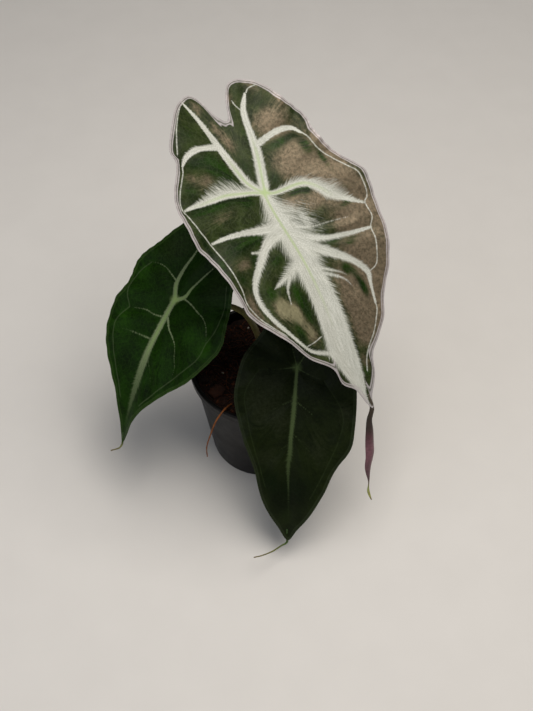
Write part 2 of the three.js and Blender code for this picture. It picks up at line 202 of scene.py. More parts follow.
leafLarge = {
    "node": "leaf_large",
    "slot": "leaf_frosted",
    "seat": (2.4, 20, 275),
    "heading": 40,
    "droop": (30, 62),
    "length": 182,
    "sweep": 0,
    "fold": 0.3,
    "sag": 0.0015,
    "waves": 11,
    "waveHeight": 1.8,
    "spokes": 520,
    "rings": 150,
    "underRings": 60,
    "outline": [
        (182, 0), (171, 3), (156, 10), (139, 15), (122, 31), (104, 42), (91, 52), (72, 61), (55, 66),
        (38, 70), (22, 71), (8, 64), (-17, 55), (-34, 57), (-53, 48), (-70, 41), (-79, 31), (-80, 21),
        (-71, 13), (-57, 6), (-64, 1), (-83, -4), (-87, -12), (-79, -28), (-58, -47), (-47, -49),
        (-29, -64), (-12, -70), (10, -73), (25, -69), (57, -66), (70, -64), (98, -47), (115, -38),
        (134, -21), (149, -18), (161, -8)],
    "veins": [
        makeVein((0, -1, 2, 4, 3), (10, -2.5, 3.6, 9, 7), (20, -3, 4.8, 20, 14), (32, -2.8, 5.6, 24, 12),
                 (45, -2.4, 6.6, 20, 9), (57, -2.3, 7.2, 12, 10), (68, -2.6, 8, 7, 7),
                 (80, -3.2, 8.6, 5, 4), (96, -4.3, 9.2, 4, 4), (111, -6, 9.8, 4, 4),
                 (122, -7.2, 10, 3.5, 5), (132, -6.6, 8.8, 3, 4), (142, -5.6, 7.2, 3, 3),
                 (152, -4.6, 5.4, 2.5, 2.5), (160, -3.7, 3.8, 2, 2), (168, -3, 1.7, 1.5, 1.5),
                 (177, -2, 0.7, 1, 1), lean=1.1, green=110, rib=2.2),
        makeVein((0, -1, 2, 3, 3), (-11, -8, 2.2, 3, 3), (-22, -9.8, 2.5, 2.2, 2.2),
                 (-37, -11.3, 2.3, 1.6, 1.8), (-53, -12, 1.7, 1.5, 1.6), (-69, -13, 1.1, 1.2, 1.4),
                 (-84, -15.5, 0.2, 0.9, 0.9), lean=0.8, green=40, rib=1.5),
        makeVein((-44, -12, 2, 2, 2.4), (-47, -22, 1.3, 1.4, 2), (-48.8, -30, 1.5, 1.3, 2),
                 (-47.4, -39, 1.2, 1.2, 1.8), (-43, -46, 0.3, 1, 1), lean=0.7, rib=1),
        makeVein((0, 0, 2.2, 3.5, 2.5), (-14, 6, 2.6, 3, 2.2), (-22, 9.4, 2.6, 2.4, 2),
                 (-30, 12.3, 2.4, 1.8, 1.8), (-45, 16.2, 1.7, 1.5, 1.6), (-53, 18.4, 1.7, 1.4, 1.6),
                 (-60, 21.6, 1.4, 1.4, 1.6), (-68.5, 29, 0.3, 1, 1), lean=0.8, green=45, rib=1.5),
        makeVein((-32, 13, 1.9, 2, 2), (-33, 24, 1.5, 1.4, 1.6), (-33, 32, 1.5, 1.4, 1.6),
                 (-31.5, 39, 1.3, 1.4, 1.4), (-28.6, 44, 0.9, 1.2, 1.2), (-23, 47, 0.3, 0.9, 0.9),
                 lean=0.7, rib=1),
        makeVein((0, -1, 1.2, 2, 2), (-4, -9, 1.3, 1.8, 4), (-7.5, -19, 1.7, 1.8, 9),
                 (-11, -30, 1.9, 1.8, 12), (-12.3, -40, 1.8, 1.6, 9), (-13.2, -49, 1.2, 1.4, 4),
                 (-14.4, -57, 0.8, 1.2, 2), (-15, -64, 0.3, 1, 1), lean=0.7, green=60, rib=1),
        makeVein((0, 0, 1, 1.5, 1.5), (3.4, 5, 1, 1.6, 1.6), (5, 12, 1.3, 3, 2), (6.2, 20, 1.5, 5, 2.2),
                 (8.4, 27, 1.6, 5, 2.6), (12.4, 32, 1.8, 5.5, 3), (18, 36.2, 2.2, 7, 4),
                 (23.6, 39.4, 2, 11, 5), (29, 43.4, 1.2, 10, 3), (33, 47.8, 0.6, 7, 2),
                 (38, 53.4, 0.4, 3, 1.4), (42.5, 59.5, 0.3, 1, 1), lean=1, green=50, rib=1),
        makeVein((35, 2, 2, 5, 5), (44, 11.5, 1.4, 4, 4), (48, 17.7, 1, 2.6, 3.4), (51, 24, 0.9, 2, 3),
                 (53.5, 31.8, 0.8, 1.6, 2.4), (56, 39.6, 0.7, 1.4, 2), (58, 47.4, 0.6, 1.2, 1.6),
                 (59.5, 53.5, 0.3, 1, 1), lean=0.9, rib=1),
        makeVein((42, 2, 3, 6, 5), (53, 11.5, 2.2, 4, 4), (61, 19.3, 2, 2.6, 3),
                 (67.4, 25.4, 1.6, 2.2, 2.6), (73.6, 30.3, 1.3, 2.2, 2), (80, 34.2, 1.2, 2.4, 1.8),
                 (86.5, 36.6, 1.3, 2, 1.6), (92.4, 35.3, 0.8, 1.4, 1.4), (100, 33.4, 0.5, 1.2, 1.2),
                 (108, 31.5, 0.4, 1, 1), lean=0.9, rib=1),
        makeVein((24, -4, 4, 8, 9), (24, -14, 2.2, 6, 7), (21, -24.5, 1.5, 2.8, 3), (18, -34, 1.1, 2, 2),
                 (15.8, -43, 0.9, 1.6, 1.6), (14.3, -51, 0.7, 1.3, 1.4), (13.4, -60.5, 0.3, 1, 1),
                 lean=0.9, rib=1),
        makeVein((30, -5, 4, 8, 8), (29.5, -13.5, 3, 6, 6), (33, -24.5, 2.2, 3.6, 3),
                 (39.3, -34, 1.9, 3, 2.4), (45.5, -42.4, 1.6, 3, 2), (50.4, -48, 1.3, 2.6, 1.8),
                 (56.6, -51.6, 1.1, 2.4, 1.5), (64.5, -52.4, 1, 2.4, 1.4), (73.6, -51, 0.9, 2.2, 1.3),
                 (82, -48.4, 0.8, 1.8, 1.2), (90, -44.8, 0.7, 1.4, 1.2), (98, -41, 0.6, 1.2, 1.1),
                 (106, -37, 0.5, 1.4, 1), (112, -33, 0.4, 2, 1.2), (117, -27, 0.4, 2.6, 1.6),
                 (122, -19, 0.6, 2.6, 2.4), lean=0.9, rib=1),
        makeVein((54, -6, 2, 7, 7), (56.5, -15, 1.2, 8, 7), (58.5, -24, 0.2, 7, 6),
                 (60, -32, 0, 2.6, 2.6), (61, -37, 0, 0.5, 0.5), lean=1.2, rib=0.5),
        makeVein((36, -26, 0.6, 2, 2), (34.4, -32, 0.2, 1.8, 1.8), (32, -38, 0, 1.2, 1.2), lean=0.9,
                 rib=0.4),
        makeVein((60, -20, 0.6, 2.4, 2.4), (66, -27, 0, 2, 2), (76, -30.6, -0.6, 1.6, 1.6), lean=0.9,
                 rib=0.4),
        makeVein((64, 4, 0.6, 3, 3), (70, 11, 0, 2, 2.4), (76, 18, -0.4, 1.6, 1.8),
                 (80, 21, -0.8, 1.4, 1.4), lean=0.9, rib=0.4),
        makeVein((69, 4, 0.6, 3, 3), (75, 12, 0, 2, 2.4), (82, 18.5, -0.4, 1.6, 1.8),
                 (89, 21, -0.8, 1.4, 1.4), lean=0.9, rib=0.4),
        makeVein((32, 6, 0.6, 4, 4), (37.5, 15, -0.2, 2.4, 2.6), (41, 28, -0.7, 1.8, 1.8),
                 (45, 42, -0.9, 1.4, 1.4), lean=0.9, rib=0.4),
    ],
    "fineVeins": [
        [(-25, 46.7), (-20, 48.2), (-10.8, 49), (-4.5, 51.3), (5, 56), (12.7, 60), (20.5, 65.2), (28.3, 66),
         (39, 64.2), (42.3, 60), (53, 58.2), (59, 53.5), (69, 51.6), (80, 47.2), (84.8, 44), (86.4, 38)],
        [(108, 31.5), (112.7, 30), (123.6, 22.4), (134.6, 13), (142.4, 8.2), (151, 5.5)],
        [(-43.6, -45.5), (-38, -50), (-33, -55), (-26, -61), (-18.6, -65), (-14.6, -65.2), (1.8, -64.7),
         (14.3, -62), (30, -60.6), (48.6, -60.6), (60, -62), (74, -57.6), (92, -47)],
        [(-68.6, 30.3), (-70.3, 33), (-69.5, 38)],
        [(-58, 19.5), (-64, 17), (-67, 16.6)],
        [(-84, -15), (-80, -22), (-68, -34), (-52, -44)],
        [(108, -20), (108, -28), (107, -37)],
    ],
    "fuzz": [(24, 13, 11, 9, 0.75), (38, 14, 10, 8, 0.7), (14, -13, 7, 5, 0.5), (60, -23, 7, 5, 0.5)],
    # painted sheen: grey-brown patches where the blade reflects light, laid into its colour; the shader's
    # metallic rises there too
    "paintedSheen": [
        (4, 44, 34, 17, 0.75), (-38, 32, 16, 12, 0.6), (62, 44, 34, 16, 0.75), (104, 26, 30, 12, 0.75),
        (-42, 30, 9, 11, 0.6), (-7, 28, 13, 14, 1), (6, 46, 15, 13, 1), (-2, 57, 24, 5, 0.8),
        (15, 12, 6, 9, 0.9), (24, 25, 7, 10, 0.7), (44, 47, 7, 13, 0.9), (31, 60, 14, 7, 1),
        (69, 39, 13, 12, 0.9), (56, 61, 17, 5, 1), (92, 17, 19, 8, 1), (110, 18, 14, 9, 0.9),
        (124, 14.5, 11, 7, 0.9), (85, 50, 13, 7, 1), (100, 40, 13, 7, 1), (116, 32, 11, 6, 0.9),
        (144, 7, 7, 3, 0.7), (-44, -3, 9, 4, 0.75), (-56, -5.5, 7, 3, 0.6), (-76, -8.5, 6, 4, 0.5),
        (-72, 14, 6, 4, 0.7), (-26, -37, 6, 9, 0.6), (-32, -47, 4, 5, 0.45), (74, -40, 9, 6, 0.9),
        (83, -31, 9, 6, 0.9), (102, -26, 9, 5, 0.7), (67, -59, 13, 5, 0.85), (36, -49, 5, 8, 0.6),
        (88, -51, 11, 3, 0.6), (-72, 36, 8, 6, 0.5), (-52, 46, 9, 4, 0.6), (2, -44, 4, 10, 0.35)],
    "deep": [
        (-32.6, -26, 12, 9, 1), (-22, -20, 10, 4, 1), (-40.5, -37, 5, 9, 0.9), (-23, -53, 8, 6, 0.7),
        (-7, -36, 5, 23, 1), (-11, -55, 4, 10, 1), (0, -18, 6, 8, 1), (24, -45, 8, 16, 1),
        (25, -29, 5, 6, 1), (38, -38, 5, 6, 1), (44, -56, 6, 4, 0.8), (45, -24, 5, 7, 0.9),
        (63, -41, 7, 7, 0.8), (74, -21.5, 10, 4.5, 1), (87, -21, 12, 4.5, 1), (98, -35.5, 12, 3.5, 1),
        (-25, 30, 4.5, 14, 1), (-14, 43, 9, 5, 1), (0, 49.5, 10, 3, 0.9), (-4.5, 11.5, 7, 5, 0.8),
        (11, 19, 3, 9, 1), (14.3, 27, 3, 5, 1), (31, 28, 5, 6, 0.5), (36, 46, 3, 9, 0.8),
        (53.5, 25.6, 3, 9, 0.9), (60, 35, 4, 8, 0.8), (75, 22.5, 6, 4, 0.9), (85, 27, 14, 3, 0.6),
        (94, 28, 8, 3, 0.8), (27, 49, 4, 7, 0.5), (17, -66, 17, 2.5, 1), (30, -64, 12, 2, 0.7),
        (152, 5, 6, 2, 0.9), (-23, -2.6, 9, 5, 0.6), (-40, 11, 12, 3, 0.5), (-61, -29, 10, 10, 0.45),
        (-70, 25, 6, 5, 0.4), (-56, 33, 6, 8, 0.6), (132, -16.5, 6, 3, 0.6), (-17, -33, 4, 3, 0.5)],
    "cream": [(75, -39, 9, 6, 1), (84, -31, 9, 5, 1), (100, -26, 8, 4, 0.6)],
    "stripeFade": (400, 500),
    "tail": [
        (0, 0, 0, 1.7, 50), (-1.2, -4, -11, 2.1, 42), (0, -7, -23, 3.1, 25), (1.1, -10, -35, 3.7, 14),
        (2.4, -12.5, -47, 4.1, 4), (2, -14.5, -60, 3.8, -10), (2.5, -16.5, -74, 1.5, -30),
        (2.6, -17.2, -80, 0.7, -40), (2.9, -18, -86, 1.7, -30), (4, -19, -92, 1.4, -20),
        (6.1, -20, -100, 0.4, -20)],
    "tailCup": 0.45,
    "stalk": (-0.1, -0.3, 0.95),
    "stalkRadius": 2.6,
}

leafLeft = {
    "node": "leaf_left",
    "slot": "leaf_green",
    "seat": (-67.8, 8, 173.2),
    "heading": -40,
    "droop": (33, 68),
    "length": 129,
    "sweep": 8,
    "fold": 0.15,
    "sag": 0.0015,
    "waves": 9,
    "waveHeight": 1.3,
    "spokes": 360,
    "rings": 100,
    "underRings": 50,
    "outline": [
        (129, 0), (118, 5), (105, 8), (90, 15), (66, 31), (45, 47), (23, 55), (8, 57), (-7, 51), (-24, 43),
        (-44, 35), (-60, 27), (-70, 18), (-66, 9), (-45, 1), (-64, -6), (-71, -13), (-66, -21), (-51, -29),
        (-30, -39), (-8, -45), (10, -42), (25, -45), (43, -43), (57, -36), (75, -25), (93, -14), (110, -6)],
    "veins": [
        makeVein((0, 0, 1.6, 1.6, 1.6), (9, 0.3, 1.8, 1.4, 1.4), (25, 0.8, 1.8, 1.4, 1.4),
                 (40, 0.6, 1.9, 1.6, 1.6), (52, 0.8, 2, 2, 2), (62, 1.2, 2, 2.2, 2.2),
                 (74, 1.6, 1.6, 2.6, 2.6), (88, 1.5, 0.7, 2.6, 2.6), (100, 1.2, 0, 2.4, 2.4),
                 (112, 0.5, -0.3, 2, 2), (124, 0, -0.6, 1, 1), lean=0.6, green=60, rib=1.8),
        makeVein((0, 0, 1.5), (-9, -5.5, 1.4), (-15, -7, 1), (-26, -7.5, 0.6), (-43, -7, 0),
                 (-60, -12, -0.5), green=20, rib=1),
        makeVein((-13, -8, 0.1), (-15.4, -15, -0.1), (-17.2, -21, -0.2), (-17, -28, -0.4),
                 (-14.5, -34, -0.7)),
        makeVein((0, 1, 1.2), (-6, 6.5, 1), (-14, 7.5, 0.5), (-28, 11.5, 0.1), (-37, 14.5, -0.2),
                 (-56, 20, -0.6), green=20, rib=0.9),
        makeVein((-4.5, 6, 0.2), (-3.6, 15, 0), (-1.3, 24, -0.1), (0, 30, -0.2), (4, 36.3, -0.3),
                 (10, 40.6, -0.5), (15.3, 43.5, -0.7), green=10),
        makeVein((16.5, -1.5, 0.2), (18.6, -9, -0.1), (18.8, -16, -0.2), (21, -23, -0.4),
                 (24, -30, -0.7)),
        makeVein((36.5, -2, 0.1), (38, -11, -0.1), (39.6, -20, -0.3), (42, -29, -0.7)),
        makeVein((15, 3, 0.5), (21.5, 8.8, 0.2), (25.3, 15, 0), (30.3, 21, -0.2), (38, 25, -0.3),
                 (44, 28.8, -0.4), (53, 30, -0.7)),
        makeVein((50, 2, -0.2), (62, 12, -0.6), (76, 17, -0.9), rib=0.7),
    ],
    "fineVeins": [
        [(24, -31), (40, -36), (56, -29), (74, -19), (92, -9)],
        [(-14.5, -34), (0, -39), (14, -38), (24, -31)],
        [(15, 43.5), (30, 44), (52, 32), (66, 24), (88, 11)],
        [(-30, 34), (-14, 42), (2, 46), (15, 43.5)],
    ],
    "fuzz": [],
    # painted sheen: grey-green patches of reflected light near the lobes, laid into the colour
    "paintedSheen": [(-36, -24, 16, 13, 1), (-26, 26, 14, 12, 0.7), (-28, 3, 10, 5, 0.5),
                 (-44, 20, 10, 10, 0.8)],
    "deep": [(62, -14, 14, 9, 0.8), (30, -14, 10, 9, 0.4), (75, 14, 12, 7, 0.7), (4, -4, 6, 5, 0.4)],
    "cream": [(-5, -34, 12, 8, 0.6), (16, 30, 12, 12, 0.6), (34, -30, 12, 8, 0.5), (20, 46, 10, 6, 0.8),
              (55, 14, 12, 8, 0.4)],
    "stripeFade": (34, 116),
    "tail": [(0, 0, 0, 0.9, 0), (-0.8, -1.6, -2.5, 0.8, 0), (-3, -4, -3.6, 0.6, 0),
             (-9.2, -7, -2.6, 0.5, 0)],
    "tailCup": 0.0,
    "stalk": (-0.8, -0.1, 0.6),
    "stalkRadius": 2,
}

leafFront = {
    "node": "leaf_front",
    "slot": "leaf_dull",
    "seat": (26.8, -36, 144),
    "heading": -8,
    "droop": (42, 68),
    "length": 148,
    "sweep": 5,
    "fold": 0.15,
    "sag": 0.0015,
    "waves": 10,
    "waveHeight": 1.5,
    "spokes": 360,
    "rings": 100,
    "underRings": 50,
    "outline": [
        (148, 0), (136, 8), (122, 17), (100, 28), (79, 36), (59, 47), (41, 49), (16, 48), (-8, 44),
        (-28, 36), (-44, 26), (-52, 16), (-46, 8), (-26, 2), (-44, -4), (-50, -11), (-44, -20),
        (-24, -30), (-4, -42), (18, -46), (36, -45), (60, -37), (83, -28), (114, -20), (134, -9)],
    "veins": [
        makeVein((0, 0, 0.6, 1, 1), (14, 0.3, 0.7, 1.4, 1.4), (28, 0.6, 1, 1.8, 1.8),
                 (42, 0.5, 1, 1.6, 1.6), (56, 0, 0.8, 1.6, 1.6), (68, 0, 0.8, 2.2, 1.8),
                 (78, -0.6, 0.4, 2, 2.6), (90, -0.4, 0.1, 1.6, 1.6), (104, 0.4, 0, 1.2, 1.2),
                 (124, 0.6, -0.2, 1, 1), (140, 0, -0.6, 1, 1), lean=0.6, green=50, rib=1.8),
        makeVein((0, 0, -0.05), (-10, -3.5, -0.55), (-26, -9, -0.95), fringe=1.2, rib=0.9),
        makeVein((0, 0, -0.05), (-16, 8, -0.55), (-40, 17, -0.95), fringe=1.2, rib=0.9),
        makeVein((0, -1, -0.15), (3, -15, -0.65), (4.5, -29, -0.95), fringe=1.2),
        makeVein((1, 1, -0.15), (4.5, 10, -0.65), (8, 22, -0.95), fringe=1.2),
        makeVein((26, -1, -0.35), (33, -13, -0.95), (42, -24, -1.25), fringe=1.4),
        makeVein((26, 1, -0.35), (36, 16, -0.95), (50, 30, -1.25), fringe=1.4),
        makeVein((62, -2, -0.55), (72, -13, -1.05), (82, -21, -1.35), fringe=1.4, rib=0.7),
        makeVein((52, 1, -0.55), (64, 14, -1.05), (80, 26, -1.35), fringe=1.4, rib=0.7),
    ],
    "fineVeins": [
        [(4.5, -29), (24, -38), (46, -34), (76, -25), (100, -18)],
        [(8, 22), (30, 38), (50, 38), (80, 28), (104, 18)],
    ],
    "fuzz": [],
    # painted sheen: grey patches of reflected light, laid into the colour
    "paintedSheen": [(30, -24, 20, 15, 1), (12, -14, 12, 9, 0.6), (12, 12, 10, 8, 0.5), (44, -8, 14, 7, 0.7),
                 (60, 22, 16, 10, 0.5), (78, -16, 10, 8, 0.6), (98, -8, 9, 6, 0.5), (30, 40, 16, 7, 0.6),
                 (-14, -14, 10, 9, 0.5)],
    "deep": [(100, 8, 18, 12, 1), (110, -6, 16, 9, 1), (92, -16, 14, 9, 0.8), (-4, -14, 7, 8, 0.5)],
    "cream": [(120, -2, 20, 8, 0.7), (90, -18, 14, 6, 0.5), (20, 30, 20, 10, 0.4), (10, -34, 14, 7, 0.5)],
    "stripeFade": (48, 130),
    "tail": [(0, 0, 0, 1, 0), (-0.8, -1.6, -3, 0.9, 0), (-4.8, -4, -3.3, 0.7, 0),
             (-11.8, -9.5, -2.3, 0.6, 0), (-19.8, -14.5, 0.2, 0.5, 0), (-27, -17.5, 2.2, 0.45, 0)],
    "tailCup": 0.0,
    "stalk": (0.45, -0.55, 0.7),
    "stalkRadius": 2.2,
}


def nearestOnLine(s, w, stations, pieces=48):
    # distance to a smooth line, the side of it, the length along it and the stations' other columns there
    line = smoothLine(stations, pieces, measured=2)
    lengths = np.linalg.norm(np.diff(line[:, :2], axis=0), axis=1)
    reach = np.concatenate([[0], np.cumsum(lengths)])
    gap = np.full(s.shape, 1e9)
    side = np.ones(s.shape)
    along = np.zeros(s.shape)
    carried = np.zeros((len(s), line.shape[1] - 2))
    for i in range(pieces - 1):
        here, step = line[i], line[i + 1] - line[i]
        awayS, awayW = s - here[0], w - here[1]
        t = np.clip((awayS * step[0] + awayW * step[1]) / lengths[i] ** 2, 0, 1)
        offS, offW = awayS - t * step[0], awayW - t * step[1]
        distance = np.hypot(offS, offW)
        closer = distance < gap
        gap[closer] = distance[closer]
        side[closer] = np.where(step[0] * offW - step[1] * offS > 0, 1.0, -1.0)[closer]
        along[closer] = reach[i] + t[closer] * lengths[i]
        carried[closer] = here[2:] + t[closer, None] * step[2:]
    return gap, side, along, carried


def bladePoints(leaf, s, w, share, veinGap):
    # the blade's middle surface in millimetres, and the way its top faces
    heading = math.radians(leaf["heading"])
    forward = np.array([math.sin(heading), -math.cos(heading), 0])
    across = np.array([math.cos(heading), math.sin(heading), 0])
    first, last = (math.radians(angle) for angle in leaf["droop"])
    bend = (last - first) / leaf["length"]
    ahead = np.maximum(s, 0)
    angle = first + bend * ahead
    run = np.where(s > 0, (np.sin(angle) - math.sin(first)) / bend, s * math.cos(first))
    fall = np.where(s > 0, (math.cos(first) - np.cos(angle)) / bend, s * math.sin(first))
    up = np.sin(angle)[..., None] * forward + np.cos(angle)[..., None] * np.array([0, 0, 1.0])
    crease = np.hypot(w, blade["creaseRadius"]) - blade["creaseRadius"]
    groove = blade["grooveDepth"] * np.exp(-(veinGap / blade["grooveWidth"]) ** 2)
    bulge = blade["bulge"] * (1 - np.exp(-(veinGap / blade["bulgeWidth"]) ** 2)) * (1 - share ** 4)
    around = np.arctan2(w, s)
    wave = leaf["waveHeight"] * share ** 3 * np.sin(leaf["waves"] * around)
    crimp = blade["crimp"] * share ** 8 * np.sin(leaf["waves"] * 4.3 * around + 1.5 * np.sin(3 * around))
    height = leaf["fold"] * crease - leaf["sag"] * w * w - groove + bulge + wave + crimp
    sideways = w + leaf["sweep"] * (ahead / leaf["length"]) ** 2
    points = (np.array(leaf["seat"], dtype=float) + run[..., None] * forward + sideways[..., None] * across
              + height[..., None] * up)
    points[..., 2] -= fall
    return points, up


def patchStrength(s, w, patches):
    # soft oval patches that add up where they overlap
    strength = np.zeros(s.shape)
    for centreS, centreW, reachS, reachW, peak in patches:
        spread = ((s - centreS) / reachS) ** 2 + ((w - centreW) / reachW) ** 2
        strength += peak * np.exp(-1.1 * spread)
    return np.minimum(strength, 1.15)


def bladeLayer(leaf, outline, rings, side):
    # one face of the blade, from the stem out to the edge, with what its material reads
    shares = np.linspace(0, 1, rings + 1)[1:] ** blade["ringCrowding"]
    s = np.concatenate([[0.01], (outline[None, :, 0] * shares[:, None]).ravel()])
    w = np.concatenate([[0.01], (outline[None, :, 1] * shares[:, None]).ravel()])
    share = np.concatenate([[0], np.repeat(shares, len(outline))])
    outward = np.hypot(*outline.T)
    tangent = np.roll(outline, -1, axis=0) - np.roll(outline, 1, axis=0)
    slant = np.abs(outline[:, 0] * tangent[:, 1] - outline[:, 1] * tangent[:, 0]) / (
        outward * np.hypot(*tangent.T))
    edgeGap = np.concatenate([[50], ((1 - shares)[:, None] * (outward * slant)[None]).ravel()])

    zero = np.zeros(s.shape)
    reach, veinGap, fineGap = (np.full(s.shape, 1e9) for _ in range(3))
    fringeAlong, fringeGap, veinOffset, veinGreen, fineOffset, ridge, flowS, flowW = (
        zero.copy() for _ in range(8))
    for number, vein in enumerate(leaf["veins"]):
        gap, onSide, along, carried = nearestOnLine(s, w, vein["stations"])
        half, rising, falling = carried.T
        outside = gap - half
        measure = outside / np.where(outside > 0, np.where(onSide > 0, rising, falling), 1.5)
        closer = measure < reach
        reach[closer] = measure[closer]
        fringeAlong[closer] = (along - vein["lean"] * gap + 97.0 * number)[closer]
        fringeGap[closer] = outside[closer]
        nearer = gap < veinGap
        veinGap[nearer] = gap[nearer]
        veinOffset[nearer] = (onSide * np.minimum(gap, 4))[nearer]
        green = np.clip(1 - np.hypot(s, w) / max(vein["green"], 1), 0, 1)
        veinGreen[nearer] = green[nearer]
        ridge = np.maximum(ridge, vein["rib"] * np.exp(-(gap / (0.9 * vein["rib"])) ** 2)
                           * np.clip(1.15 - share, 0, 1))
        # the small nerves turn smoothly from the direction of one vein to that of the next
        middle = np.array(vein["stations"][len(vein["stations"]) // 2][:2], dtype=float)
        middle /= np.hypot(*middle)
        flowS += middle[0] / (gap + 0.5) ** 2
        flowW += middle[1] / (gap + 0.5) ** 2
    for path in leaf["fineVeins"]:
        gap, onSide, _, _ = nearestOnLine(s, w, path)
        nearer = gap < fineGap
        fineGap[nearer] = gap[nearer]
        fineOffset[nearer] = (onSide * np.minimum(gap, 4))[nearer]

    points, up = bladePoints(leaf, s, w, share, veinGap)
    half = blade["thickness"] + (blade["edgeThickness"] - blade["thickness"]) * share
    lift = side * half / 2
    if side > 0:
        lift = lift - 0.15 * np.exp(-(fineGap / 0.9) ** 2) * np.clip((1 - share) * 12, 0, 1)
    else:
        lift = lift - ridge
    points = points + lift[:, None] * up
    # paintedSheen is where sheen is painted into the colour; fuzz, deep and cream are the leaf's own
    # markings
    fuzz, paintedSheen, deep, cream = (
        patchStrength(s, w, leaf[name]) for name in ("fuzz", "paintedSheen", "deep", "cream"))
    # fullness of the pale stripe: over 1 inside it, 1 at its edge and 0 where the fringe ends
    fullness = np.where(reach > 0, 1 - np.abs(reach) ** 0.8, 1 - 2 * reach)
    fullness = np.clip(np.maximum(fullness, 2.2 * fuzz - 1.2), -1.5, 3)
    fadeStart, fadeEnd = leaf["stripeFade"]
    stripe = np.clip((fadeEnd - s) / (fadeEnd - fadeStart), 0, 1)
    flow = np.hypot(flowS, flowW) + 1e-9
    attributes = {
        "place": (s, w, zero),
        "fringe": (fringeAlong, fringeGap, fullness),
        "nerve": (flowS / flow, flowW / flow, np.hypot(s, w)),
        "veinLine": (veinGap, veinOffset, veinGreen),
        "fineLine": (fineGap, fineOffset, stripe),
        "tint": (paintedSheen, deep, cream),
        "margin": (zero, edgeGap, zero),
    }
    return points, {key: np.stack(parts, axis=1) for key, parts in attributes.items()}


def layerFaces(count, rings, first, upward):
    faces = [(first, first + 1 + i, first + 1 + (i + 1) % count) for i in range(count)]
    for j in range(rings - 1):
        ring = first + 1 + j * count
        faces += [(ring + i, ring + count + i, ring + count + (i + 1) % count, ring + (i + 1) % count)
                  for i in range(count)]
    return faces if upward else [tuple(reversed(face)) for face in faces]


def makeTail(leaf, sides=14):
    # the drip tip: a thin strip that starts inside the blade's tip and twists as it hangs
    zero = np.zeros(1)
    start = blade["tailStart"]
    inner = bladePoints(leaf, zero + leaf["length"] * start, zero, zero + start, zero)[0][0]
    tip = bladePoints(leaf, zero + leaf["length"], zero, zero + 1, zero)[0][0]
    stations = [(*inner, *leaf["tail"][0][3:])]
    stations += [(*(tip + np.array(row[:3])), *row[3:]) for row in leaf["tail"]]
    line = smoothLine(stations, 12 * len(leaf["tail"]) + 1)
    wide = np.maximum(line[:, 3], 0.2)
    rings = sweepRings(line[:, :3], wide, sides, np.minimum(wide, 0.42), np.radians(line[:, 4]),
                       leaf["tailCup"])
    return rings, np.repeat(np.linspace(0, 1, len(line)), sides)


def makeStalk(leaf, sides=24):
    # the top of the stem, cut slantwise inside the blade that it opens into
    way = np.array(leaf["stalk"]) / np.linalg.norm(leaf["stalk"])
    seat = np.array(leaf["seat"], dtype=float)
    heading, droop = math.radians(leaf["heading"]), math.radians(leaf["droop"][0])
    up = np.array([math.sin(heading) * math.sin(droop), -math.cos(heading) * math.sin(droop),
                   math.cos(droop)])
    share = np.linspace(0, 1, 12)
    path = seat - way * blade["stalkLength"] * (1 - share)[:, None]
    rings = sweepRings(path, leaf["stalkRadius"] * (1 + 0.45 * share ** 3), sides)
    above = (rings[-1] - seat) @ up + blade["grooveDepth"] + 0.1
    rings[-1] -= (above / way.dot(up))[:, None] * way
    for j in range(6, 11):
        blend = (share[j] - share[5]) / (1 - share[5])
        limit = rings[-1] - way * (1 - blend) * blade["stalkLength"] * (1 - share[5])
        rings[j] += (limit - rings[j]) * blend
    return rings


def makeLeaf(leaf, upperSkin, underSkin, tailSkin, stemSkin):
    count = leaf["spokes"]
    outline = smoothLine(leaf["outline"], count, closed=True)
    top, data = bladeLayer(leaf, outline, leaf["rings"], 1)
    under, underData = bladeLayer(leaf, outline[::2], leaf["underRings"], -1)
    points = [top, under]
    faces = layerFaces(count, leaf["rings"], 0, True)
    skins = [0] * len(faces)
    lower = layerFaces(count // 2, leaf["underRings"], len(top), False)
    faces += lower
    skins += [1] * len(lower)
    rim = len(top) - count
    underRim = len(top) + len(under) - count // 2
    for i in range(count // 2):
        a, b, c = rim + 2 * i, rim + 2 * i + 1, rim + (2 * i + 2) % count
        d, e = underRim + i, underRim + (i + 1) % (count // 2)
        faces += [(a, d, b), (b, d, e, c)]
        skins += [0, 0]
    data = {key: np.concatenate([data[key], underData[key]]) for key in data}
    tail, tailShare = makeTail(leaf)
    stalk = makeStalk(leaf)
    for rings, skin, shareDown in ((tail, 2, tailShare), (stalk, 3, 0)):
        part = ringFaces(len(rings), rings.shape[1], sum(len(p) for p in points))
        points.append(rings.reshape(-1, 3))
        faces += part
        skins += [skin] * len(part)
        for key in data:
            fill = np.zeros((len(points[-1]), 3))
            if key == "margin":
                fill[:, 0] = shareDown
            data[key] = np.concatenate([data[key], fill])
    piece = makePiece(leaf["node"].replace("_", "") + "Blade", np.vstack(points) * mm, faces,
                      [upperSkin, underSkin, tailSkin, stemSkin], skins, data, (rim, rim + count))
    standFor(piece, leaf["node"])


# How long or wide each pattern of a leaf's skin is, in millimetres. Nerves fan out from the stem, so their
# width is a share of a turn. The grain is about 0.1 mm on a real leaf and drawn coarser, so that it shows.
patternSize = {
    "hairWidth": 1.2, "hairLength": 10, "threadLength": 16, "threadWidth": 1.1, "nerveLength": 14,
    "broadNerveLength": 26, "cloud": 13, "mottle": 2.6, "grain": 0.8, "net": 3.2, "speckGap": 6.5}


